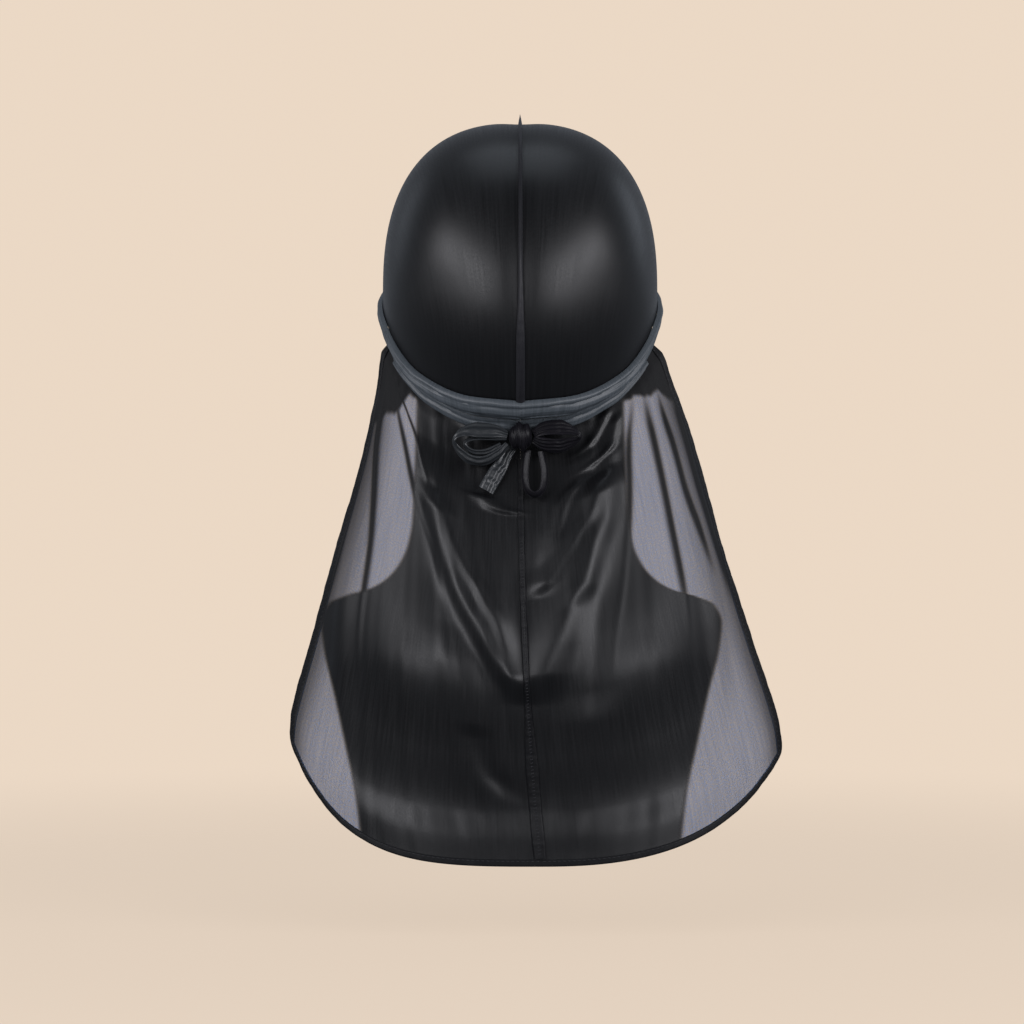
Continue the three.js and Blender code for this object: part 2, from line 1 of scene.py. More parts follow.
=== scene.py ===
# Silky durag as it is worn, tied behind with a bow: cloth, seams, hems, straps, finishes, light and camera.
# Sizes are in millimetres and become metres where a mesh is made.
# X points to the wearer's right, Y the way the wearer faces, Z up. The origin is in the head hollow's middle.
import functools
import logging
import math
from dataclasses import dataclass, field, replace
from enum import Enum
from typing import Iterable, Mapping, Optional, Sequence

import bpy
import numpy as np
from mathutils import Matrix, Vector


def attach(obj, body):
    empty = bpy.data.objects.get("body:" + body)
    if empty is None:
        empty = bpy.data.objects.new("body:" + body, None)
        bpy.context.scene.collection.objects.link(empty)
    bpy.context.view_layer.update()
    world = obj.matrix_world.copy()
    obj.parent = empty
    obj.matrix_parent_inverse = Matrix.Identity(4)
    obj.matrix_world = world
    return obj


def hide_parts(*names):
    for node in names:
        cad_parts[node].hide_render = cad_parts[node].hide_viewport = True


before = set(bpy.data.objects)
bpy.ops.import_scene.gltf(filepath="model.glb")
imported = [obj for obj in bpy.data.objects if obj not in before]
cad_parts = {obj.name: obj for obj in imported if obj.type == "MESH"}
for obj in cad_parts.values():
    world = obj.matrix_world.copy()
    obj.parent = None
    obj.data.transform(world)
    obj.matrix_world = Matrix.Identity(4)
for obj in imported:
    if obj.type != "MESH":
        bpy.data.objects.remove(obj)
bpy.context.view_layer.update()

MM = 0.001
BODY = "root"
LOG = logging.getLogger("durag")
STREAKS_PER_METRE = 900.0
GRAINS_PER_METRE = 1150.0


class Side(Enum):
    """The half of the durag that a piece belongs to, with the sign of its X."""

    LEFT = -1
    RIGHT = 1

    @property
    def word(self) -> str:
        """The side's name in a piece's name."""
        return self.name.lower()


class Slot(Enum):
    """Material slots of the record, one for each kind of piece."""

    CLOTH = "satin_cloth"
    CROWN_SEAM = "crown_seam"
    CAPE_SEAM = "cape_seam"
    HEM = "hem"
    STRAP = "strap"
    BOW = "bow"


def smoothstep(value: np.ndarray, low: float, high: float) -> np.ndarray:
    """Ease from 0 at low to 1 at high along 3t^2 - 2t^3."""
    t = np.clip((value - low) / (high - low), 0.0, 1.0)
    return t * t * (3.0 - 2.0 * t)


def mix(a: np.ndarray, b: np.ndarray, share: np.ndarray) -> np.ndarray:
    """Point between a and b at a share."""
    return a + (b - a) * share


def unit(vectors: np.ndarray) -> np.ndarray:
    """Vectors along the last axis, brought to length one."""
    length = np.linalg.norm(vectors, axis=-1, keepdims=True)
    return vectors / np.maximum(length, 1e-12)


def through(keys: Sequence[float], values: Sequence[float], at: np.ndarray) -> np.ndarray:
    """Smooth curve through table rows that never overshoots them.

    A cubic runs between each two rows. Its slope at a row is the harmonic mean of the slopes
    on both sides, or zero where they differ in sign.

    Args:
        keys: rising places of the rows.
        values: the rows' values.
        at: places where the curve is wanted.

    Returns:
        The curve's values, in the shape of at.
    """
    k = np.asarray(keys, float)
    v = np.asarray(values, float)
    slope = np.diff(v) / np.diff(k)
    before = slope[:-1]
    after = slope[1:]
    total = before + after
    same = before * after > 0
    inner = np.where(same, 2 * before * after / np.where(same, total, 1.0), 0.0)
    tangent = np.concatenate([slope[:1], inner, slope[-1:]])
    row = np.clip(np.searchsorted(k, at, side="right") - 1, 0, len(k) - 2)
    span = k[row + 1] - k[row]
    t = np.clip((at - k[row]) / span, 0.0, 1.0)
    rise = v[row + 1] - v[row]
    start = span * tangent[row]
    end = span * tangent[row + 1]
    return v[row] + t * (start + t * (3 * rise - 2 * start - end + t * (start + end - 2 * rise)))


def column(rows: Sequence[object], name: str) -> list[float]:
    """One named column of a table of rows."""
    return [getattr(row, name) for row in rows]


def waver(at: np.ndarray, seed: int, waves: int = 5, first: float = 1.0) -> np.ndarray:
    """Irregular smooth wave between about -1 and 1: a sum of sines of rising frequency and falling height.

    Args:
        at: places along it, in turns of the slowest wave.
        seed: number that picks the phases.
        waves: how many sines are summed.
        first: frequency of the slowest one.

    Returns:
        The wave's values, in the shape of at.
    """
    rng = np.random.default_rng(seed)
    phases = rng.uniform(0, 2 * np.pi, waves)
    pitches = first * 1.63 ** np.arange(waves) * rng.uniform(0.85, 1.15, waves)
    heights = 0.72 ** np.arange(waves)
    total = sum(h * np.sin(2 * np.pi * f * at + p) for h, f, p in zip(heights, pitches, phases))
    return total / heights.sum() * 1.4


@dataclass(frozen=True)
class HeadForm:
    """Rounded hollow that the cloth follows.

    A level cut is a superellipse |x/a|^n + |y/b|^n = 1 whose half axes a and b shrink with height h
    as (1 - h^p)^(1/p). Points on it are found by a ray from the middle of the axis through both ears.
    """

    half_breadth: float = 78.0
    front_reach: float = 97.0
    back_reach: float = 101.0
    crown_rise: float = 97.0
    nape_reach: float = 96.0
    plan_power: float = 2.2
    back_view_power: float = 2.5
    side_view_power: float = 2.15
    nape_power: float = 2.2
    ear_back: float = 28.0
    ear_drop: float = 24.0
    brow_angle: float = 13.6
    nape_angle: float = 237.0
    gather_angle: float = 86.0

    @property
    def ears_middle(self) -> np.ndarray:
        """Middle of the axis through both ears."""
        return np.array([0.0, -self.ear_back, -self.ear_drop])

    def level(self, points: np.ndarray) -> np.ndarray:
        """Below zero inside the form and above zero outside it.

        Args:
            points: points in millimetres.

        Returns:
            The superellipse's sum less one, for each point.
        """
        x, y, z = np.moveaxis(points, -1, 0)
        above = z >= 0
        height = np.minimum(np.abs(z) / np.where(above, self.crown_rise, self.nape_reach), 1.0)

        def closing(power: float) -> np.ndarray:
            """Share of a half axis that is left at this height."""
            return np.maximum(1 - height**power, 0.0) ** (1 / power)

        nape = closing(self.nape_power)
        a = self.half_breadth * np.where(above, closing(self.back_view_power), nape)
        b = np.where(y > 0, self.front_reach, self.back_reach)
        b = b * np.where(above, closing(self.side_view_power), nape)
        a = np.maximum(a, 1e-6)
        b = np.maximum(b, 1e-6)
        return (np.abs(x) / a) ** self.plan_power + (np.abs(y) / b) ** self.plan_power - 1

    def cast(self, directions: np.ndarray) -> np.ndarray:
        """Points of the form met along directions from the middle of the ears' axis, by halving a span.

        Args:
            directions: directions of length one.

        Returns:
            Points in millimetres, one for each direction.
        """
        near = np.zeros(directions.shape[:-1])
        far = near + 2 * (self.back_reach + self.front_reach)
        for _ in range(44):
            middle = (near + far) / 2
            outside = self.level(self.ears_middle + middle[..., None] * directions) > 0
            far = np.where(outside, middle, far)
            near = np.where(outside, near, middle)
        return self.ears_middle + near[..., None] * directions

    def outward(self, points: np.ndarray) -> np.ndarray:
        """Direction out of the form, from the slope of its level.

        Args:
            points: points of the form.

        Returns:
            Directions of length one.
        """
        probe = 0.5 * np.eye(3)
        slopes = [self.level(points + step) - self.level(points - step) for step in probe]
        return unit(np.stack(slopes, axis=-1))

    def crown_point(self, about: np.ndarray, out: np.ndarray, side: Side) -> np.ndarray:
        """Point by its angle about the ears' axis and its angle out from the middle, both in degrees.

        Args:
            about: angle about the ears' axis, 0 to the front and 90 up.
            out: angle out from the middle towards one ear.
            side: the half.

        Returns:
            Points of the form in millimetres.
        """
        a = np.radians(about)
        o = np.radians(out)
        parts = [side.value * np.sin(o) + 0 * a, np.cos(o) * np.cos(a), np.cos(o) * np.sin(a)]
        return self.cast(np.stack(parts, axis=-1))

    def round_point(self, turn: np.ndarray, tilt: np.ndarray) -> np.ndarray:
        """Point by its turn from the middle of the back and its tilt above the ears' axis, in degrees.

        Args:
            turn: turn from the middle of the back.
            tilt: tilt above the ears' axis.

        Returns:
            Points of the form in millimetres.
        """
        t = np.radians(turn)
        e = np.radians(tilt)
        return self.cast(np.stack([np.sin(t) * np.cos(e), -np.cos(t) * np.cos(e), np.sin(e)], axis=-1))


@dataclass(frozen=True)
class Level:
    """Level of the cape, as shares: how far down, how far each side has opened, how far it stands back."""

    down: float
    left: float
    right: float
    back: float


CAPE_LEVELS = (
    Level(0.00, 0.00, 0.000, 0.00),
    Level(0.03, 0.09, 0.100, 0.04),
    Level(0.10, 0.12, 0.170, 0.17),
    Level(0.22, 0.20, 0.300, 0.42),
    Level(0.35, 0.33, 0.420, 0.64),
    Level(0.50, 0.51, 0.550, 0.84),
    Level(0.60, 0.62, 0.650, 0.89),
    Level(0.75, 0.78, 0.800, 0.82),
    Level(0.87, 0.915, 0.925, 0.77),
    Level(0.94, 0.975, 0.978, 0.815),
    Level(1.00, 1.00, 1.000, 0.86),
)


@dataclass(frozen=True)
class Fold:
    """One fold of the cape, traced downwards on the photo.

    traced are pixels of the photo on the line of light or shade that shows the fold. A ridge catches the
    light on its outward flank, so it lies inward of its line by inset half widths. half_width and rise are in
    millimetres, and a negative rise is a crease. packed is how much denser the cloth looks along the fold.
    It fades in and out over the shares fade_in and fade_out of its own length.
    """

    traced: tuple[tuple[int, int], ...]
    half_width: float
    rise: float
    packed: float = 0.0
    inset: float = 0.0
    fade_in: float = 0.2
    fade_out: float = 0.35


@dataclass(frozen=True)
class Ridge(Fold):
    """Long ridge that starts and ends clearly."""

    fade_in: float = 0.12
    fade_out: float = 0.15


# Broad folds: left edge, left sweep, left foot, right top, right sweep, right edge, right foot
MAIN_FOLDS = (
    Fold(((389, 372), (363, 520), (332, 740)), 9.5, 3.0, packed=0.2),
    Fold(((420, 440), (440, 534), (474, 610), (510, 690)), 15, 4.0, inset=0.45),
    Fold(((440, 620), (462, 700), (500, 850)), 17, 1.8, inset=0.3),
    Fold(((604, 430), (570, 500), (533, 575)), 12, 1.8, inset=0.3),
    Ridge(((616, 470), (612, 524), (602, 555), (590, 593), (575, 633), (545, 707)), 15, 5.0, inset=0.62),
    Fold(((657, 372), (701, 540), (733, 740)), 10.5, 3.5, packed=0.2),
    Fold(((600, 690), (590, 770), (585, 855)), 17, 1.6, inset=0.3),
)
# Narrow ridges between the bow and the seam on the right
RIGHT_RIDGES = (
    Fold(((609, 404), (603, 428), (587, 450), (563, 463)), 4.0, 1.3, inset=0.45),
    Fold(((618, 413), (614, 446), (596, 465), (570, 481)), 4.5, 1.4, inset=0.45),
    Fold(((592, 470), (568, 504), (558, 542), (538, 570)), 5.0, 1.5, inset=0.45),
    Ridge(((606, 470), (594, 511), (576, 542), (561, 565), (541, 600)), 7.5, 2.6, inset=0.45),
    Ridge(((617, 440), (615, 500), (606, 545), (594, 585), (582, 612)), 8.0, 1.6, inset=0.6),
)
# Narrow ridges and the low pocket on the left
LEFT_RIDGES = (
    Ridge(((421, 480), (434, 534), (449, 583), (469, 623), (492, 664), (522, 705)), 7.5, 3.0, inset=0.45),
    Ridge(
        ((435, 490), (449, 534), (462, 567), (479, 598), (495, 628), (508, 668), (514, 705)),
        6.5,
        2.3,
        inset=0.45,
    ),
    Fold(((476, 492), (497, 508), (519, 516)), 8.0, 1.4, fade_in=0.25, fade_out=0.2),
    Fold(((471, 722), (486, 765), (516, 805)), 8.0, -1.5),
)
# Thin dark lines in the open wings, where the cloth lies double
DARK_LINES = (
    Fold(((392, 366), (405, 444), (418, 504), (436, 557), (451, 623), (464, 680)), 2.3, 0.2, packed=0.95),
    Fold(((397, 361), (414, 430), (425, 470), (433, 500)), 1.4, 0.4, packed=0.9),
    Fold(((387, 371), (381, 440), (376, 500), (370, 555), (361, 631), (358, 704)), 1.9, 0.8, packed=0.9),
    Fold(((384, 380), (372, 430), (356, 490), (338, 555), (322, 620)), 2.4, 0.8, packed=0.8),
    Fold(((626, 385), (629, 440), (629, 516), (624, 580), (615, 640), (611, 700)), 2.2, 0.4, packed=0.9),
    Fold(((638, 385), (650, 425), (660, 470), (670, 520), (681, 580), (690, 660)), 2.4, 0.9, packed=0.95),
    Fold(((656, 385), (666, 430), (680, 480), (696, 532), (713, 585)), 1.5, 0.6, packed=0.95),
    Fold(((669, 388), (680, 430), (692, 476), (708, 527), (722, 565), (736, 612)), 2.6, 0.8, packed=0.92),
)
FOLDS = MAIN_FOLDS + RIGHT_RIDGES + LEFT_RIDGES + DARK_LINES


@dataclass(frozen=True)
class Sight:
    """Camera straight behind the durag, level, and the pixels at which it sees a point."""

    place: tuple[float, float, float] = (-4.6, -1800.0, -123.7)
    lens: float = 111.02
    sensor: float = 36.0
    picture: int = 1024
    seam_pixel: int = 521
    pixel: float = 0.54

    def pixels(self, points: np.ndarray) -> np.ndarray:
        """Pixels of points: their offset from the camera's axis, times the focal length over the distance.

        Args:
            points: points in millimetres.

        Returns:
            Pixels across and down the picture.
        """
        x, y, z = np.moveaxis(points - np.array(self.place), -1, 0)
        focal = self.lens / self.sensor * self.picture
        return self.picture / 2 + np.stack([x, -z], axis=-1) * (focal / y)[..., None]


@dataclass(frozen=True)
class Cape:
    """Hanging half of the cloth, from the nape to the hem, without its wall."""

    head: HeadForm = HeadForm()
    length: float = 236.5
    stand_off: float = 40.0
    edge_trail: float = 10.0
    left_corner_reach: float = 128.9
    right_corner_reach: float = 145.9
    left_corner_rise: float = 65.4
    right_corner_rise: float = 57.5
    seam_drift: float = 11.0
    seam_drift_power: float = 2.2
    left_hem_power: float = 3.4
    right_hem_power: float = 2.4
    edge_power: float = 3.0
    settled_level: float = 0.6

    @property
    def nape(self) -> np.ndarray:
        """Point at the nape where the seam passes from the crown to the cape."""
        return self.head.crown_point(np.array(self.head.nape_angle), np.array(0.0), Side.RIGHT)

    @property
    def ear(self) -> np.ndarray:
        """Point at the right ear where the cloth is gathered."""
        head = self.head
        return head.crown_point(np.array(head.nape_angle), np.array(head.gather_angle), Side.RIGHT)

    def reach(self, side: Side, down: np.ndarray) -> np.ndarray:
        """Half breadth of the cape on one side at a level.

        Args:
            side: the half.
            down: share from the nape to the hem.

        Returns:
            Millimetres from the seam to the side edge.
        """
        corner = self.left_corner_reach if side is Side.LEFT else self.right_corner_reach
        share = through(column(CAPE_LEVELS, "down"), column(CAPE_LEVELS, side.word), down)
        drift = side.value * self.seam_drift * down**self.seam_drift_power
        return mix(self.ear[0], corner, share) - drift

    def hem_height(self, side: Side, out: np.ndarray) -> np.ndarray:
        """Height of the hem at a share out from the seam.

        Args:
            side: the half.
            out: share from the seam to the side edge.

        Returns:
            Millimetres: the lowest height and a power of the share.
        """
        left = side is Side.LEFT
        rise = self.left_corner_rise if left else self.right_corner_rise
        power = self.left_hem_power if left else self.right_hem_power
        return self.nape[2] - self.length + rise * out**power

    def point(self, side: Side, out: np.ndarray, down: np.ndarray) -> np.ndarray:
        """Cape without folds: gathered along the nape above, hanging in one wide curve below.

        Args:
            side: the half.
            out: share from the seam to the side edge.
            down: share from the nape to the hem.

        Returns:
            Points in millimetres, one for each pair.
        """
        top = self.head.crown_point(np.array(self.head.nape_angle), out * self.head.gather_angle, side)
        opened = side.value * (self.reach(side, down) - self.ear[0]) * out
        x = self.seam_drift * down**self.seam_drift_power + top[..., 0] + opened
        back = self.stand_off * through(column(CAPE_LEVELS, "down"), column(CAPE_LEVELS, "back"), down)
        edge = out**self.edge_power
        trail = self.edge_trail * down
        gathered = top[..., 1] - back * (1 - edge) - trail * edge
        hanging = mix(self.nape[1] - back, self.ear[1] - trail, edge)
        y = mix(gathered, hanging, smoothstep(down, 0.0, self.settled_level))
        z = mix(top[..., 2], self.hem_height(side, out), down)
        return np.stack([x, y, z], axis=-1)


@dataclass(frozen=True)
class Drape:
    """Whole course of the cloth on one side with its folds: 0 to 1 over the crown, 1 to 2 down the cape."""

    cape: Cape = Cape()
    slope_step: float = 0.004
    gather_rise: float = 0.14
    gather_count: int = 7
    gather_start: float = 0.03
    gather_end: float = 0.17
    gather_wander: float = 0.5
    near_seam: tuple[float, float] = (0.02, 0.1)
    groove_depth: float = 0.9
    groove_width: float = 4.0
    groove_end: tuple[float, float] = (0.62, 0.8)
    hem_swell: float = 1.2
    hem_swell_level: float = 0.93
    hem_swell_span: float = 0.055
    edge_packed: float = 0.55
    edge_packed_reach: float = 10.0
    shoulder_rise: float = 2.2
    shoulder_level: float = 0.55
    shoulder_span: float = 0.12
    shoulder_place: float = 0.5
    shoulder_reach: float = 0.28
    rise_breadth: float = 0.72
    packed_breadth: float = 0.8
    wander_rise: float = 0.35
    trace_step: float = 0.008

    def base(self, side: Side, course: np.ndarray, out: np.ndarray) -> np.ndarray:
        """Cloth without its folds, at a course and a share out from the seam.

        Args:
            side: the half.
            course: 0 at the brow, 1 at the nape, 2 at the hem.
            out: share from the seam to the side edge.

        Returns:
            Points in millimetres.
        """
        head = self.cape.head
        on_crown = head.crown_point(
            mix(head.brow_angle, head.nape_angle, np.minimum(course, 1.0)), out * head.gather_angle, side
        )
        on_cape = self.cape.point(side, out, np.maximum(course - 1.0, 0.0))
        return np.where((course < 1.0)[..., None], on_crown, on_cape)

    def outward(self, side: Side, course: np.ndarray, out: np.ndarray) -> np.ndarray:
        """Direction out of the cloth: the cross product of its two slopes, brought square to X at the seam.

        Args:
            side: the half.
            course: course of each point.
            out: share out of each point.

        Returns:
            Directions of length one.
        """
        step = self.slope_step
        clear = smoothstep(out * self.cape.reach(side, np.clip(course - 1.0, 0.0, 1.0)), 0.0, 4.0)
        low = self.base(side, np.minimum(course + step, 2.0), out)
        up = self.base(side, np.maximum(course - step, 0.0), out)
        far = self.base(side, course, np.minimum(out + step, 1.0))
        near = self.base(side, course, np.maximum(out - step, 0.0))
        direction = unit(-side.value * np.cross(far - near, low - up))
        direction[..., 0] *= clear
        return unit(direction)

    def fold_rise(self, side: Side, course: np.ndarray, out: np.ndarray) -> tuple[np.ndarray, np.ndarray]:
        """Height of the folds over the plain cloth and how dense they pack it.

        A fold's section is the bell curve exp(-(q / b)^2), where q is the distance from its middle
        in half widths and b the bell's breadth; it fades in and out along its own length.

        Args:
            side: the half.
            course: course of each point.
            out: share out of each point.

        Returns:
            Heights in millimetres, and packed shares from 0 to 1.
        """
        down = course - 1.0
        across = side.value * out
        reach = self.cape.reach(side, np.clip(down, 0.0, 1.0))
        rise = np.zeros(out.shape)
        packed = np.zeros(out.shape)
        for fold, places in zip(FOLDS, fold_places(self)):
            first, last = places[0, 1], places[-1, 1]
            q = (across - through(places[:, 1], places[:, 0], down)) * reach / fold.half_width
            along = (down - first) / (last - first)
            ends = smoothstep(along, 0.0, fold.fade_in)
            if last < 1.0:
                ends = ends * (1 - smoothstep(along, 1.0 - fold.fade_out, 1.0))
            rise += fold.rise * ends * np.exp(-((q / self.rise_breadth) ** 2))
            packed += fold.packed * ends * np.exp(-((q / self.packed_breadth) ** 2))
        return rise, np.clip(packed, 0.0, 1.0)

    def relief(self, side: Side, course: np.ndarray, out: np.ndarray) -> tuple[np.ndarray, np.ndarray]:
        """All that stands over the plain cloth: folds, gathers, swells and the groove along the seam.

        The gathers are a sine across the cloth. The swells over the shoulders and above the hem and the
        groove are bell curves.

        Args:
            side: the half.
            course: course of each point.
            out: share out of each point.

        Returns:
            Heights in millimetres, and packed shares from 0 to 1.
        """
        down = course - 1.0
        rise, packed = self.fold_rise(side, course, out)
        on_cape = smoothstep(down, 0.0, 0.02)
        fade = on_cape * (1 - smoothstep(down, self.gather_start, self.gather_end))
        wander = self.gather_wander * waver(out + 0.4 * down, 11 + side.value, first=1.5)
        gathers = np.sin(2 * np.pi * (self.gather_count * out + wander))
        rise = rise * on_cape + self.gather_rise * fade * gathers * smoothstep(out, *self.near_seam)
        reach = self.cape.reach(side, np.clip(down, 0.0, 1.0))
        millimetres = out * reach
        groove = np.exp(-((millimetres / self.groove_width) ** 2))
        level = (down - self.shoulder_level) / self.shoulder_span
        place_out = (out - self.shoulder_place) / self.shoulder_reach
        rise = rise + on_cape * self.shoulder_rise * np.exp(-(level**2) - place_out**2)
        rise = rise - self.groove_depth * groove * (1 - smoothstep(course, *self.groove_end))
        near_hem = (down - self.hem_swell_level) / self.hem_swell_span
        rise = rise + self.hem_swell * np.exp(-(near_hem**2)) * (1 - 0.7 * out**2)
        from_edge = (1 - out) * reach
        near_edge = self.edge_packed * np.exp(-((from_edge / self.edge_packed_reach) ** 2)) * on_cape
        packed = np.clip(packed + near_edge, 0.0, 1.0)
        wandering = waver(2.2 * out + 0.6 * down, 5 + side.value) * smoothstep(out, 0.0, 0.1)
        rise = rise + self.wander_rise * on_cape * wandering
        return rise, packed

    def cloth(
        self, side: Side, course: np.ndarray, out: np.ndarray
    ) -> tuple[np.ndarray, np.ndarray, np.ndarray]:
        """Outer face of the cloth.

        Args:
            side: the half.
            course: course of each point.
            out: share out of each point.

        Returns:
            Points, the directions out of the cloth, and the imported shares.
        """
        outward = self.outward(side, course, out)
        rise, packed = self.relief(side, course, out)
        return self.base(side, course, out) + rise[..., None] * outward, outward, packed

    def share_down(self, side: Side, out: np.ndarray, distance: float) -> np.ndarray:
        """Share of the cape's length that a distance up from the hem takes."""
        top = self.cape.point(side, out, np.zeros(out.shape))[..., 2]
        return distance / (top - self.cape.hem_height(side, out))


@functools.lru_cache(maxsize=None)
def fold_places(drape: Drape, rows: int = 700, columns: int = 500) -> tuple[np.ndarray, ...]:
    """Places of the folds on the cape: for each traced pixel, the point of a fine grid seen nearest to it.

    Args:
        drape: the cloth's course.
        rows: rows of the grid, from the nape to the hem.
        columns: columns of the grid, from the seam to the side edge.

    Returns:
        For each fold its places (across, down), from -1 at the left edge to 1 at the right edge and from 0
        at the nape to 1 at the hem, each clearly further down than the one before.
    """
    sight = Sight()
    down, out = np.meshgrid(np.linspace(0.0, 1.0, rows), np.linspace(0.0, 1.0, columns), indexing="ij")
    seen = {side: sight.pixels(drape.base(side, 1 + down, out)) for side in Side}
    made = []
    for fold in FOLDS:
        side = Side.LEFT if fold.traced[0][0] < sight.seam_pixel else Side.RIGHT
        inward = np.array([-side.value * fold.inset * fold.half_width / sight.pixel, 0.0])
        wanted = np.array(fold.traced) + inward
        nearest = [np.argmin(((seen[side] - pixel) ** 2).sum(-1)) for pixel in wanted]
        places = sorted((down.ravel()[k], side.value * out.ravel()[k]) for k in nearest)
        kept = places[:1]
        for place_down, across in places[1:]:
            if place_down > kept[-1][0] + drape.trace_step:
                kept.append((place_down, across))
        made.append(np.array(kept)[:, ::-1])
    return tuple(made)


def slopes(points: np.ndarray, axis: int) -> np.ndarray:
    """Differences along one axis of a grid of points, by neighbours on both sides."""
    return np.gradient(points, axis=axis)


@dataclass
class Surface:
    """Grid of points with what goes with them, ready to be made a closed wall."""

    outer: np.ndarray
    inner: np.ndarray
    uv: np.ndarray
    ring: bool = False
    values: Mapping[str, np.ndarray] = field(default_factory=dict)

    def faces(self) -> np.ndarray:
        """Quads of both skins and of the rims between them.

        Returns:
            Four vertex numbers a row, with the faces pointing out.
        """
        rows, columns = self.outer.shape[:2]
        number = np.arange(rows * columns).reshape(rows, columns)
        if self.ring:
            number = np.concatenate([number, number[:1]], axis=0)
        under = number + rows * columns
        a, b, c, d = number[:-1, :-1], number[1:, :-1], number[1:, 1:], number[:-1, 1:]
        quads = [np.stack([a, b, c, d], -1), np.stack([a, d, c, b], -1) + rows * columns]
        first, last = number[:, 0], number[:, -1]
        low, high = under[:, 0], under[:, -1]
        quads.append(np.stack([first[:-1], low[:-1], low[1:], first[1:]], -1))
        quads.append(np.stack([last[:-1], last[1:], high[1:], high[:-1]], -1))
        if not self.ring:
            quads.append(np.stack([number[0, :-1], number[0, 1:], under[0, 1:], under[0, :-1]], -1))
            quads.append(np.stack([number[-1, :-1], under[-1, :-1], under[-1, 1:], number[-1, 1:]], -1))
        return np.concatenate([q.reshape(-1, 4) for q in quads])

    def mesh(self, name: str) -> bpy.types.Mesh:
        """Closed wall as a mesh in metres, with its UV map and its named values on the vertices.

        Args:
            name: name of the mesh.

        Returns:
            The mesh.
        """
        points = np.concatenate([self.outer.reshape(-1, 3), self.inner.reshape(-1, 3)]) * MM
        uv = np.concatenate([self.uv.reshape(-1, 2)] * 2)
        values = {key: np.concatenate([v.ravel()] * 2) for key, v in self.values.items()}
        return solid_mesh(name, points, self.faces(), uv, values)


def solid_mesh(
    name: str,
    points: np.ndarray,
    quads: np.ndarray,
    uv: np.ndarray,
    values: Optional[Mapping[str, np.ndarray]] = None,
) -> bpy.types.Mesh:
    """Mesh from whole arrays, turned round where it would enclose a volume below zero.

    Args:
        name: name of the mesh.
        points: vertices in metres.
        quads: four vertex numbers a row.
        uv: UV place of each vertex.
        values: named values of each vertex.

    Returns:
        The mesh, shaded smooth with its sharp rims kept.
    """
    a, b, c, d = (points[quads[:, i]] for i in range(4))
    volume = (a * np.cross(b, c)).sum() + (a * np.cross(c, d)).sum()
    if volume < 0:
        quads = quads[:, ::-1]
    mesh = bpy.data.meshes.new(name)
    mesh.vertices.add(len(points))
    mesh.vertices.foreach_set("co", points.astype(np.float32).ravel())
    mesh.loops.add(quads.size)
    mesh.loops.foreach_set("vertex_index", quads.astype(np.int32).ravel())
    mesh.polygons.add(len(quads))
    mesh.polygons.foreach_set("loop_start", np.arange(0, quads.size, 4, dtype=np.int32))
    mesh.update(calc_edges=True)
    layer = mesh.uv_layers.new(name="Cloth")
    layer.data.foreach_set("uv", uv[quads.ravel()].astype(np.float32).ravel())
    for key, value in (values or {}).items():
        attribute = mesh.attributes.new(key, "FLOAT", "POINT")
        attribute.data.foreach_set("value", value.astype(np.float32))
    mesh.shade_smooth()
    mesh.set_sharp_from_angle(angle=math.radians(60))
    return mesh


def arc_uv(points: np.ndarray) -> np.ndarray:
    """UV places in metres: the grid's mean lengths along its rows and its columns.

    Args:
        points: grid of points in millimetres.

    Returns:
        A pair (u, v) for each point.
    """
    along = np.linalg.norm(np.diff(points, axis=0), axis=-1).mean(axis=1)
    across = np.linalg.norm(np.diff(points, axis=1), axis=-1).mean(axis=0)
    v = np.concatenate([[0.0], np.cumsum(along)]) * MM
    u = np.concatenate([[0.0], np.cumsum(across)]) * MM
    return np.stack(np.meshgrid(u, v), axis=-1)


def place(
    name: str,
    mesh: bpy.types.Mesh,
    material: bpy.types.Material,
    slot: Slot,
    nodes: Iterable[str] = (),
) -> bpy.types.Object:
    """Object for a mesh, riding on the body, with its finish and the nodes it stands for.

    Args:
        name: name of the piece.
        mesh: its mesh, in metres.
        material: its finish.
        slot: slot of the record; not used.
        nodes: names of the CAD nodes that it replaces.

    Returns:
        The new object.
    """
    piece = bpy.data.objects.new(name, mesh)
    bpy.context.scene.collection.objects.link(piece)
    mesh.materials.append(material)
    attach(piece, BODY)
    if nodes:
        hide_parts(*nodes)
    LOG.info("%s: %d faces", name, len(mesh.polygons))
    return piece


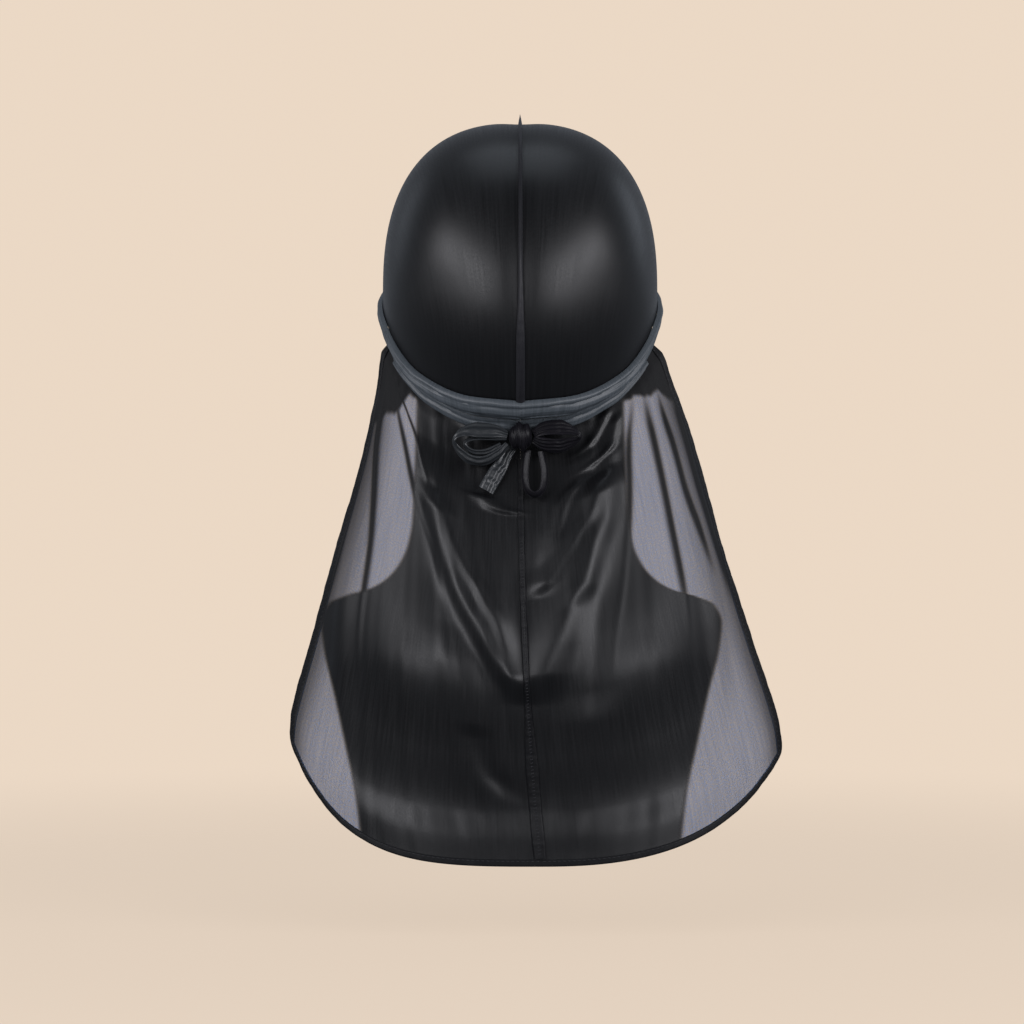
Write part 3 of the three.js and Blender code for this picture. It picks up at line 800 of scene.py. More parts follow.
class Shader:
    """Short way to write a node tree: nodes are added with their values, and links are made by name."""

    def __init__(self, tree: bpy.types.NodeTree) -> None:
        """Take over a node tree and clear it."""
        self.tree = tree
        tree.nodes.clear()

    def add(
        self, kind: str, values: Optional[Mapping[object, object]] = None, **settings: object
    ) -> bpy.types.Node:
        """New node of a kind, with socket values by name and its settings.

        Args:
            kind: type of the node.
            values: values or output sockets to feed, by input name or number.
            settings: properties of the node.

        Returns:
            The node.
        """
        node = self.tree.nodes.new(kind)
        for key, value in settings.items():
            setattr(node, key, value)
        for key, value in (values or {}).items():
            socket = node.inputs[key]
            if isinstance(value, bpy.types.NodeSocket):
                self.tree.links.new(value, socket)
            else:
                socket.default_value = value
        return node

    def math(self, operation: str, a: object, b: object = 0.0, clamp: bool = False) -> bpy.types.NodeSocket:
        """Result of a Math node on two numbers or sockets."""
        return self.add("ShaderNodeMath", {0: a, 1: b}, operation=operation, use_clamp=clamp).outputs[0]

    def blend(self, share: object, a: object, b: object) -> bpy.types.NodeSocket:
        """Colour between two colours or sockets at a share."""
        node = self.add("ShaderNodeMix", {0: share, 6: a, 7: b}, data_type="RGBA")
        return node.outputs[2]

    def ramp(
        self, value: object, low: float, high: float, to: tuple[float, float] = (0, 1)
    ) -> bpy.types.NodeSocket:
        """Value eased from the span low to high to the span of to, clamped."""
        values = {0: value, 1: low, 2: high, 3: to[0], 4: to[1]}
        return self.add("ShaderNodeMapRange", values, interpolation_type="SMOOTHSTEP").outputs[0]


def group_with(
    name: str, inputs: Mapping[str, tuple[str, object]], outputs: Mapping[str, str]
) -> tuple[bpy.types.NodeTree, Shader, bpy.types.Node, bpy.types.Node]:
    """New shader node group with named sockets.

    Args:
        name: name of the group.
        inputs: for each input its socket type and default value.
        outputs: for each output its socket type.

    Returns:
        The group, its Shader, its input node and its output node.
    """
    tree = bpy.data.node_groups.new(name, "ShaderNodeTree")
    for key, (kind, default) in inputs.items():
        socket = tree.interface.new_socket(name=key, in_out="INPUT", socket_type=kind)
        if default is not None:
            socket.default_value = default
    for key, kind in outputs.items():
        tree.interface.new_socket(name=key, in_out="OUTPUT", socket_type=kind)
    shader = Shader(tree)
    entry = shader.add("NodeGroupInput")
    exit_node = shader.add("NodeGroupOutput")
    return tree, shader, entry, exit_node


def knit_group() -> bpy.types.NodeTree:
    """Fine silky knit: ribs along the cloth, broken crosswise, with soft long streaks of denser yarn.

    Returns:
        Group with a Height for bumps, a Streak mask and a Grain mask.
    """
    tree, s, entry, out = group_with(
        "silky_knit",
        {
            "Place": ("NodeSocketVector", None),
            "Pitch": ("NodeSocketFloat", 0.0006),
            "Streak length": ("NodeSocketFloat", 0.04),
        },
        {"Height": "NodeSocketFloat", "Streak": "NodeSocketFloat", "Grain": "NodeSocketFloat"},
    )
    parts = s.add("ShaderNodeSeparateXYZ", {0: entry.outputs["Place"]})
    turns = s.math("DIVIDE", parts.outputs["X"], entry.outputs["Pitch"])
    rib = s.math("SINE", s.math("MULTIPLY", turns, 2 * math.pi))
    rows = s.math("DIVIDE", parts.outputs["Y"], s.math("MULTIPLY", entry.outputs["Pitch"], 1.3))
    loop = s.math("SINE", s.math("ADD", s.math("MULTIPLY", rows, 2 * math.pi), s.math("MULTIPLY", rib, 0.8)))
    height = s.math("ADD", s.math("MULTIPLY", rib, 0.6), s.math("MULTIPLY", loop, 0.4))
    long_way = s.math("DIVIDE", parts.outputs["Y"], entry.outputs["Streak length"])
    cross_way = s.math("MULTIPLY", parts.outputs["X"], STREAKS_PER_METRE)
    streak_place = s.add("ShaderNodeCombineXYZ", {0: cross_way, 1: long_way}).outputs[0]
    streaks = {"Vector": streak_place, "Scale": 1.0, "Detail": 4.0, "Roughness": 0.65}
    streak = s.add("ShaderNodeTexNoise", streaks)
    grains = {"Vector": entry.outputs["Place"], "Scale": GRAINS_PER_METRE, "Detail": 3.0}
    grain = s.add("ShaderNodeTexNoise", grains)
    links = tree.links
    links.new(height, out.inputs["Height"])
    links.new(s.ramp(streak.outputs[0], 0.3, 0.72), out.inputs["Streak"])
    links.new(s.ramp(grain.outputs[0], 0.3, 0.7), out.inputs["Grain"])
    return tree


@dataclass(frozen=True)
class CloseRow:
    """Height and half breadth, both in millimetres, of the cape's middle part that is painted shade: opaque
    and near-black where a body would stand behind the thin cloth.
    """

    height: float
    half_breadth: float


# Outline of the painted shade: inside it the thin cloth is made opaque and near-black, as where a shaded body
# stood behind it.
SHADED_ROWS = (
    CloseRow(-310.0, 84.5),
    CloseRow(-278.6, 88.2),
    CloseRow(-251.7, 94.2),
    CloseRow(-224.8, 100.6),
    CloseRow(-198.0, 107.6),
    CloseRow(-184.5, 109.2),
    CloseRow(-174.8, 105.0),
    CloseRow(-170.0, 94.7),
    CloseRow(-165.7, 80.5),
    CloseRow(-160.3, 71.6),
    CloseRow(-152.2, 64.6),
    CloseRow(-141.5, 59.8),
    CloseRow(-128.0, 57.5),
    CloseRow(-60.0, 55.5),
)


@dataclass(frozen=True)
class OpenTop:
    """Height under which the cloth hangs open, at one distance from the middle, both in millimetres."""

    breadth: float
    height: float


OPEN_TOPS = {
    Side.LEFT: (
        OpenTop(50.0, -72.0),
        OpenTop(55.0, -66.0),
        OpenTop(61.0, -58.0),
        OpenTop(70.0, -66.0),
        OpenTop(78.0, -71.0),
        OpenTop(90.0, -78.0),
    ),
    Side.RIGHT: (
        OpenTop(50.0, -68.0),
        OpenTop(58.0, -63.0),
        OpenTop(66.0, -57.0),
        OpenTop(78.0, -56.0),
        OpenTop(84.0, -60.0),
        OpenTop(92.0, -66.0),
    ),
}


@dataclass(frozen=True)
class Satin:
    """Silky black knit with its sheen and its fine ribs."""

    name: str
    colour: tuple[float, float, float] = (0.0018, 0.0018, 0.002)
    streak_colour: tuple[float, float, float] = (0.0035, 0.0035, 0.0039)
    roughness: float = 0.38
    streak_roughness: float = 0.07
    grain_roughness: float = 0.08
    specular: float = 0.17
    anisotropy: float = 0.35
    sheen: float = 0.01
    sheen_roughness: float = 0.4
    sheen_tint: tuple[float, float, float] = (0.75, 0.82, 1.0)
    pitch: float = 0.0006
    bump: float = 0.03
    bump_depth: float = 0.0002

    def build(self, knit: bpy.types.NodeTree) -> bpy.types.Material:
        """Material of the finish, opaque all over."""
        material, _ = self.opaque(knit)
        return material

    def opaque(self, knit: bpy.types.NodeTree) -> tuple[bpy.types.Material, dict[str, object]]:
        """Material and the sockets that a sheer finish goes on from.

        Args:
            knit: the knit group.

        Returns:
            The material, and its shader, Principled node, knit node and colour socket by name.
        """
        material = bpy.data.materials.new(self.name)
        material.use_nodes = True
        s = Shader(material.node_tree)
        uv = s.add("ShaderNodeUVMap", uv_map="Cloth")
        ribs = s.add("ShaderNodeGroup", {}, node_tree=knit)
        s.tree.links.new(uv.outputs[0], ribs.inputs["Place"])
        ribs.inputs["Pitch"].default_value = self.pitch
        streak = ribs.outputs["Streak"]
        colour = s.blend(streak, (*self.colour, 1), (*self.streak_colour, 1))
        streaked = s.math("MULTIPLY", streak, self.streak_roughness)
        grained = s.math("MULTIPLY", ribs.outputs["Grain"], self.grain_roughness)
        middle = self.roughness - (self.streak_roughness + self.grain_roughness) / 2
        roughness = s.math("ADD", s.math("ADD", streaked, grained), middle)
        relief = {"Strength": self.bump, "Distance": self.bump_depth, "Height": ribs.outputs["Height"]}
        bump = s.add("ShaderNodeBump", relief)
        tangent = s.add("ShaderNodeTangent", direction_type="UV_MAP", uv_map="Cloth")
        principled = s.add(
            "ShaderNodeBsdfPrincipled",
            {
                "Base Color": colour,
                "Roughness": roughness,
                "Specular IOR Level": self.specular,
                "Anisotropic": self.anisotropy,
                "Sheen Weight": self.sheen,
                "Sheen Roughness": self.sheen_roughness,
                "Sheen Tint": (*self.sheen_tint, 1),
                "Normal": bump.outputs[0],
                "Tangent": tangent.outputs[0],
            },
        )
        s.add("ShaderNodeOutputMaterial", {"Surface": principled.outputs[0]})
        made = {"shader": s, "principled": principled, "ribs": ribs, "colour": colour, "roughness": roughness}
        return material, made


@dataclass(frozen=True)
class SheerSatin(Satin):
    """The same knit, see-through in the open wings, where its colour eases to a bluish grey: painted light
    scattered in the thin cloth. Where it is not sheer it stays opaque and near-black, which over the cape's
    middle is painted shade of a body behind it.
    """

    sheer_colour: tuple[float, float, float] = (0.055, 0.078, 0.13)
    tint_power: float = 3.0
    open_alpha: float = 0.49
    streak_alpha: float = 0.11
    grain_alpha: float = 0.26
    sheer_dimmest: float = 0.3
    sheer_roughness: float = 0.38

    def build(self, knit: bpy.types.NodeTree) -> bpy.types.Material:
        """Material whose colour, roughness and alpha follow the sheer, packed and dull values of the cloth.

        Args:
            knit: the knit group.

        Returns:
            The material.
        """
        material, made = self.opaque(knit)
        s = made["shader"]
        sheer = s.add("ShaderNodeAttribute", attribute_name="sheer").outputs["Fac"]
        packed = s.add("ShaderNodeAttribute", attribute_name="packed").outputs["Fac"]
        light = s.math("MULTIPLY", sheer, s.math("SUBTRACT", 1.0, packed, clamp=True))
        dull = s.add("ShaderNodeAttribute", attribute_name="dull").outputs["Fac"]
        matte = s.math("ADD", made["roughness"], s.math("MULTIPLY", dull, self.sheer_roughness), clamp=True)
        s.tree.links.new(matte, made["principled"].inputs["Roughness"])
        # Colour from near-black to a bluish grey with its grain: painted light in the sheer wings; the
        # grain's random tone is the knit's own.
        thin = s.math("POWER", light, self.tint_power)
        grain = made["ribs"].outputs["Grain"]
        dim = tuple(self.sheer_dimmest * part for part in self.sheer_colour)
        bright = tuple((2 - self.sheer_dimmest) * part for part in self.sheer_colour)
        grain_and_painted_light = s.blend(grain, (*dim, 1), (*bright, 1))
        colour = s.blend(thin, made["colour"], grain_and_painted_light)
        s.tree.links.new(colour, made["principled"].inputs["Base Color"])
        open_share = s.math("MULTIPLY", light, 1 - self.open_alpha)
        streak = made["ribs"].outputs["Streak"]
        varied = s.math("MULTIPLY", s.math("MULTIPLY", light, streak), self.streak_alpha)
        speckle = s.math("MULTIPLY", s.math("SUBTRACT", grain, 0.5), self.grain_alpha)
        woven = s.math("ADD", varied, s.math("MULTIPLY", light, speckle))
        alpha = s.math("ADD", s.math("SUBTRACT", 1.0, open_share), woven, clamp=True)
        s.tree.links.new(alpha, made["principled"].inputs["Alpha"])
        return material


@dataclass
class ClothHalf:
    """One half of the durag: a single cut of cloth from the brow over the crown and down the cape."""

    side: Side
    drape: Drape = Drape()
    wall: float = 0.7
    hem_width: float = 3.8
    hem_tuck: float = 0.25
    seam_gap: float = 0.004
    hem_start: tuple[float, float] = (0.97, 1.03)
    tuck_start: float = 0.02
    crown_rows: int = 120
    cape_rows: int = 250
    columns: int = 112
    free_ease: tuple[float, float] = (-0.5, 3.0)
    shoulder_start: tuple[float, float] = (95.0, 130.0)
    shoulder_end: tuple[float, float] = (190.0, 210.0)
    shoulder_breadth: tuple[float, float] = (38.0, 62.0)
    shoulder_dull: float = 0.4
    top_ease: tuple[float, float] = (-1.5, 3.0)
    top_waver: float = 2.5
    top_waves: float = 3.2

    def places(self) -> tuple[np.ndarray, np.ndarray]:
        """Course and share out of each grid point, ending short of the seam, the side hem and the bottom hem.

        Returns:
            Two grids, the course and the share out.
        """
        crown = np.linspace(0.0, 1.0, self.crown_rows, endpoint=False)
        cape = np.linspace(1.0, 2.0, self.cape_rows)
        course = np.concatenate([crown, cape])[:, None] + np.zeros(self.columns)
        share = np.linspace(0.0, 1.0, self.columns)[None, :]
        down = np.clip(course - 1.0, 0.0, 1.0)
        reach = self.drape.cape.reach(self.side, down)
        hem = self.hem_width / reach * smoothstep(course, *self.hem_start)
        tuck = self.hem_tuck / reach * (down > self.tuck_start)
        out = mix(self.seam_gap / reach, 1.0 - hem + tuck, share)
        end = self.drape.share_down(self.side, out, self.hem_width - self.hem_tuck)
        course = np.where(course > 1.0, 1.0 + down * (1.0 - end), course)
        return course, out

    def surface(self) -> Surface:
        """Both skins of the cloth with its values, each an easing between two heights or breadths.

        It is sheer outside the cape's middle part and below the gathers; that middle part stays opaque and
        near-black, painted shade of a body behind the thin cloth. It is dull where it hangs free of the
        middle part and a little over the shoulders, and packed along its folds.

        Returns:
            The surface.
        """
        course, out = self.places()
        outer, outward, packed = self.drape.cloth(self.side, course, out)
        breadth = np.abs(outer[..., 0])
        height = outer[..., 2]
        # Half breadth of the painted shade: inside it the cloth is not sheer, so it stays opaque and
        # near-black.
        shade_half_breadth = through(column(SHADED_ROWS, "height"), column(SHADED_ROWS, "half_breadth"), height)
        free = smoothstep(breadth - shade_half_breadth, *self.free_ease) * smoothstep(course, 0.99, 1.01)
        level = smoothstep(-height, *self.shoulder_start) * (1.0 - smoothstep(-height, *self.shoulder_end))
        dull = np.maximum(free, self.shoulder_dull * level * smoothstep(breadth, *self.shoulder_breadth))
        tops = OPEN_TOPS[self.side]
        start = through(column(tops, "breadth"), column(tops, "height"), breadth)
        ragged = self.top_waver * waver(self.top_waves * out, 8)
        below = smoothstep(start + ragged - height, *self.top_ease)
        inner = outer - self.wall * outward
        values = {"dull": dull, "sheer": free * below, "packed": packed}
        return Surface(outer, inner, arc_uv(outer), values=values)

    def build(self, finish: bpy.types.Material) -> bpy.types.Object:
        """Mesh and dress the half, which stands for its crown and its cape.

        Args:
            finish: material of the cloth.

        Returns:
            The piece.
        """
        word = self.side.word
        nodes = (f"{word}_crown", f"{word}_cape")
        return place(f"cloth_{word}", self.surface().mesh(f"cloth_{word}"), finish, Slot.CLOTH, nodes)


@dataclass
class Stitches:
    """Row of thread stitches along a line on the cloth, each a small rod that dips into it at both ends."""

    name: str
    slot: Slot
    line: np.ndarray
    across: np.ndarray
    outward: np.ndarray
    pitch: float = 2.7
    length: float = 1.9
    thickness: float = 0.5
    slant: float = 8.0
    sink: float = 0.25
    sides: int = 6

    def rods(self) -> tuple[np.ndarray, np.ndarray, np.ndarray]:
        """Middle, way and outward direction of each stitch, evenly spaced along the line.

        Returns:
            Three arrays with a row for each stitch.
        """
        length = np.concatenate([[0.0], np.cumsum(np.linalg.norm(np.diff(self.line, axis=0), axis=-1))])
        at = np.arange(self.pitch, length[-1] - self.pitch / 2, self.pitch)

        def here(values: np.ndarray) -> np.ndarray:
            """Values of the line at the stitches' places."""
            return np.stack([np.interp(at, length, values[:, k]) for k in range(3)], axis=-1)

        out = unit(here(self.outward))
        across = unit(here(self.across))
        way = np.cross(out, across)
        turn = math.radians(self.slant)
        return here(self.line), unit(math.cos(turn) * way + math.sin(turn) * across), out

    def mesh(self) -> bpy.types.Mesh:
        """All the rods as one closed mesh: each has five rings of corners, the end ones small and closed.

        Returns:
            The mesh.
        """
        middle, way, out = self.rods()
        ring = np.array([-1.0, -0.7, 0.0, 0.7, 1.0])
        girth = np.array([0.35, 0.85, 1.0, 0.85, 0.35]) * self.thickness / 2
        angle = 2 * np.pi * np.arange(self.sides) / self.sides
        side = np.cross(out, way)[:, None, None, :]
        up = out[:, None, None, :]
        round_it = np.cos(angle)[:, None] * side + np.sin(angle)[:, None] * up
        along = (self.length / 2 * ring)[None, :, None, None] * way[:, None, None, :]
        bend = (self.sink * ring**2)[None, :, None, None] * up
        points = middle[:, None, None, :] + along - bend + girth[None, :, None, None] * round_it
        number = np.arange(ring.size * self.sides).reshape(ring.size, self.sides)
        after = np.roll(number, -1, axis=1)
        quads = np.stack([number[:-1], after[:-1], after[1:], number[1:]], -1).reshape(-1, 4)
        first, last = number[0], number[-1]
        caps = np.array([first[[0, 3, 2, 1]], first[[0, 5, 4, 3]], last[[0, 1, 2, 3]], last[[0, 3, 4, 5]]])
        one = np.concatenate([quads, caps])
        every = one[None] + number.size * np.arange(len(middle))[:, None, None]
        uv = np.stack(np.meshgrid(self.thickness * angle, self.length * ring), -1).reshape(-1, 2) * MM
        uv = np.tile(uv, (len(middle), 1))
        return solid_mesh(self.name, points.reshape(-1, 3) * MM, every.reshape(-1, 4), uv)

    def build(self, finish: bpy.types.Material) -> bpy.types.Object:
        """Mesh and dress the row."""
        return place(self.name, self.mesh(), finish, self.slot)


@dataclass
class Hem:
    """Doubled hem down the free side edge, round the corner and along the bottom to the seam."""

    side: Side
    drape: Drape = Drape()
    width: float = 3.8
    wall: float = 1.5
    cloth_wall: float = 0.7
    stations: int = 420
    corner_points: int = 14
    section_points: int = 9
    seam_gap: float = 0.004
    ripple_rise: float = 0.18
    ripple_waves: float = 22.0

    def edges(self) -> tuple[np.ndarray, np.ndarray]:
        """Inner and outer edge of the hem along its way: straight stretches joined by a quarter turn.

        Returns:
            Two arrays of (course, out) pairs.
        """
        side = self.side
        cape = self.drape.cape
        count = self.stations // 2
        corner = float(self.drape.share_down(side, np.array(1.0), self.width))
        down = np.linspace(self.seam_gap, 1.0 - corner, count)
        within = 1 - self.width / cape.reach(side, down) * smoothstep(down, -0.03, 0.03)
        side_inner = np.stack([1 + down, within], -1)
        side_outer = np.stack([1 + down, np.ones(count)], -1)
        last = float(1 - self.width / cape.reach(side, np.array(1.0)))
        out = last * (1 - np.linspace(0.0, 1.0, count))
        out = np.maximum(out, self.seam_gap / float(cape.reach(side, np.array(1.0))))
        rise = self.drape.share_down(side, out, self.width)
        bottom_inner = np.stack([2 - rise, out], -1)
        bottom_outer = np.stack([np.full(count, 2.0), out], -1)
        mitre = np.linspace(0.0, 1.0, self.corner_points)[1:-1, None]
        corner_inner = mix(side_inner[-1], bottom_inner[0], mitre)
        turn = 0.5 * np.pi * mitre
        rounded = np.concatenate([np.sin(turn), 1 - np.cos(turn)], axis=1)
        round_out = mix(side_outer[-1], bottom_outer[0], rounded)
        inner = np.concatenate([side_inner, corner_inner, bottom_inner])
        outer = np.concatenate([side_outer, round_out, bottom_outer])
        return inner, outer

    def surface(self) -> Surface:
        """Rolled hem: its section is a flattened circle, thin where it meets the cloth, and ripples along it.

        Returns:
            The surface.
        """
        inner_edge, outer_edge = self.edges()
        share = np.linspace(0.0, 1.0, self.section_points)[None, :, None]
        grid = mix(inner_edge[:, None, :], outer_edge[:, None, :], share)
        points, outward, _ = self.drape.cloth(self.side, grid[..., 0], grid[..., 1])
        round_up = np.sqrt(np.clip(1 - (2 * share[..., 0] - 1) ** 4, 0.0, 1.0))
        along = np.linspace(0.0, 1.0, len(points))[:, None]
        ripple = self.ripple_rise * waver(along * self.ripple_waves, 3 + self.side.value) * share[..., 0]
        thick = (self.wall - self.cloth_wall) / 2 * round_up
        outer = points + (thick + ripple)[..., None] * outward
        inner = points - (self.cloth_wall + thick - ripple)[..., None] * outward
        return Surface(outer, inner, arc_uv(outer))

    def stitches(self, column_number: int = 2) -> "Stitches":
        """Row of stitches that holds the hem down.

        Args:
            column_number: column of the hem's grid that the row follows.

        Returns:
            The row.
        """
        grid = self.surface().outer
        line = grid[:, column_number]
        across = grid[:, column_number + 1] - grid[:, column_number - 1]
        outward = -self.side.value * np.cross(across, slopes(line, 0))
        return Stitches(f"stitches_{self.side.word}", Slot.HEM, line, across, outward)

    def build(self, finish: bpy.types.Material) -> bpy.types.Object:
        """Mesh and dress the hem."""
        word = self.side.word
        return place(f"hem_{word}", self.surface().mesh(f"hem_{word}"), finish, Slot.HEM, (f"{word}_hem",))


@dataclass(frozen=True)
class Turn:
    """Course of a strap at one turn from the middle of the back: its tilt and its width as a share."""

    turn: float
    tilt: float
    width: float


BAND_COURSE = (
    Turn(0, -41.5, 1.0),
    Turn(30, -37.5, 1.0),
    Turn(60, -23, 0.85),
    Turn(78, -7, 0.7),
    Turn(90, 3, 0.65),
    Turn(110, 11, 0.75),
    Turn(130, 16, 0.9),
    Turn(155, 20, 1.0),
    Turn(180, 21, 1.0),
)
STRAP_COURSE = (
    Turn(0, -51.8, 1.0),
    Turn(30, -47.4, 1.0),
    Turn(60, -31.7, 0.8),
    Turn(72, -20, 0.6),
    Turn(80, -12.3, 0.4),
)


@dataclass(frozen=True)
class Roll:
    """Lengthwise roll of a bunched strap: its middle and half width as shares of the width, its height."""

    middle: float
    half_width: float
    rise: float


@dataclass
class Band:
    """Strap wound on the head along a course of tilts, bunched into a few lengthwise rolls."""

    name: str
    node: str
    course: Sequence[Turn]
    rolls: Sequence[Roll]
    first_turn: float = 0.0
    last_turn: float = 360.0
    side: int = 1
    ring: bool = False
    head: HeadForm = HeadForm()
    width: float = 10.5
    wall: float = 1.4
    lay_gap: float = 0.65
    foot_stand: float = 2.4
    stations: int = 480
    section_points: int = 25
    roll_wander: float = 0.05
    roll_swell: float = 0.25
    roll_power: float = 2.4
    crumple_rise: float = 0.16
    behind: tuple[float, float] = (60.0, 100.0)
    foot_share: float = 0.6
    seed: int = 7

    def surface(self) -> Surface:
        """Strap wall whose outer face rises over each roll, and the rolls wander along the strap.

        A roll's section is 1 - |q|^2.4, where q is the distance from its middle in half widths.

        Returns:
            The surface.
        """
        turns = np.linspace(self.first_turn, self.last_turn, self.stations, endpoint=not self.ring)
        half = np.where(turns > 180, 360 - turns, turns)
        sign = np.where(turns > 180, -self.side, self.side)
        tilt = through(column(self.course, "turn"), column(self.course, "tilt"), half)
        width = self.width * through(column(self.course, "turn"), column(self.course, "width"), half)
        radius = np.linalg.norm(self.head.round_point(half, tilt) - self.head.ears_middle, axis=-1)
        share = np.linspace(0.0, 1.0, self.section_points)
        spread = np.degrees(width / radius)[:, None] * (0.5 - share)
        t = np.radians(half)[:, None] + 0 * share
        e = np.radians(tilt[:, None] + spread)
        x = sign[:, None] * np.sin(t) * np.cos(e)
        directions = np.stack([x, -np.cos(t) * np.cos(e), np.sin(e)], axis=-1)
        points = self.head.cast(directions)
        outward = self.head.outward(points)
        around = turns[:, None] / 360.0
        lift = np.zeros(share.shape) + 0 * around
        for number, roll in enumerate(self.rolls):
            wander = self.roll_wander * waver(around * 3.0, self.seed + number)
            q = (share + wander - roll.middle) / roll.half_width
            thick = 1 + self.roll_swell * waver(around * 4.0, self.seed + 31 + number)
            section = 1 - np.minimum(np.abs(q), 1.0) ** self.roll_power
            lift = np.maximum(lift, roll.rise * thick * section)
        drift = 0.5 * waver(around * 2.0, self.seed + 5)
        lift = lift + self.crumple_rise * waver(3.2 * share + drift, self.seed + 9)
        behind = 1 - smoothstep(half, *self.behind)[:, None]
        edge = np.sqrt(np.clip(1 - (2 * share - 1) ** 6, 0.0, 1.0))
        stand = self.foot_stand * share * behind
        outer = points + (self.lay_gap + stand + (self.wall * 0.5 + lift) * edge)[..., None] * outward
        inner = points + (self.lay_gap * self.foot_share + stand)[..., None] * outward
        return Surface(outer, inner, arc_uv(outer)[..., ::-1], ring=self.ring)

    def build(self, finish: bpy.types.Material) -> bpy.types.Object:
        """Mesh and dress the strap."""
        return place(self.name, self.surface().mesh(self.name), finish, Slot.STRAP, (self.node,))


@dataclass(frozen=True)
class SeamRow:
    """Section of the crown's seam at one share of its way: width and height as shares, and its lean."""

    along: float
    width: float
    height: float
    lean: float


CROWN_SEAM_ROWS = (
    SeamRow(0.0, 0.5, 0.4, 0.0),
    SeamRow(0.2, 0.42, 0.75, 0.1),
    SeamRow(0.38, 0.42, 1.0, 0.0),
    SeamRow(0.6, 0.45, 0.55, 0.1),
    SeamRow(0.74, 0.6, 0.3, 0.4),
    SeamRow(0.84, 0.95, 0.22, 0.3),
    SeamRow(1.0, 1.0, 0.2, 0.0),
)


@dataclass
class CrownSeam:
    """Seam allowance that stands up over the crown and lies flat towards the nape."""

    head: HeadForm = HeadForm()
    width: float = 5.0
    height: float = 5.5
    lay_gap: float = 0.3
    first_about: float = 25.0
    last_about: float = 218.0
    foot_height: float = 0.25
    foot_sink: float = 1.0
    lean_wander: float = 0.25
    edge_wander: float = 0.05
    flat_from: tuple[float, float] = (0.6, 0.85)
    breadth_power: tuple[float, float] = (0.9, 4.0)
    height_power: tuple[float, float] = (0.8, 0.5)
    stations: int = 260
    section_points: int = 13

    def surface(self) -> Surface:
        """Two layers of cloth sewn together on edge, whose section narrows from its foot to its top.

        The section is (1 - |x|^p)^q, with powers that pass from a standing fin's to a flat strip's.

        Returns:
            The surface.
        """
        along = np.linspace(0.0, 1.0, self.stations)
        about = mix(self.first_about, self.last_about, along)
        points = self.head.crown_point(about, np.zeros(about.shape), Side.RIGHT)
        outward = self.head.outward(points)
        keys = column(CROWN_SEAM_ROWS, "along")
        half = self.width / 2 * through(keys, column(CROWN_SEAM_ROWS, "width"), along)
        height = self.height * through(keys, column(CROWN_SEAM_ROWS, "height"), along)
        lean = through(keys, column(CROWN_SEAM_ROWS, "lean"), along) + self.lean_wander * waver(along * 6, 17)
        share = np.linspace(-1.0, 1.0, self.section_points)[None, :]
        flat = smoothstep(along, *self.flat_from)[:, None]
        stand = (1 - np.abs(share) ** mix(*self.breadth_power, flat)) ** mix(*self.height_power, flat)
        uneven = 1 + self.edge_wander * waver(along * 30, 2)
        up = self.foot_height + height[:, None] * stand * uneven[:, None]
        x = half[:, None] * share + lean[:, None] * stand
        base = points - self.foot_sink * (1 - flat) * outward
        outer = base[:, None, :] + (self.lay_gap + up)[..., None] * outward[:, None, :]
        outer[..., 0] += x
        inner = base[:, None, :] + self.lay_gap * outward[:, None, :] + 0 * outer
        inner[..., 0] += half[:, None] * share
        return Surface(outer, inner, arc_uv(outer))

    def build(self, finish: bpy.types.Material) -> bpy.types.Object:
        """Mesh and dress the seam."""
        mesh = self.surface().mesh("crown_seam_fin")
        return place("crown_seam_fin", mesh, finish, Slot.CROWN_SEAM, ("crown_seam",))


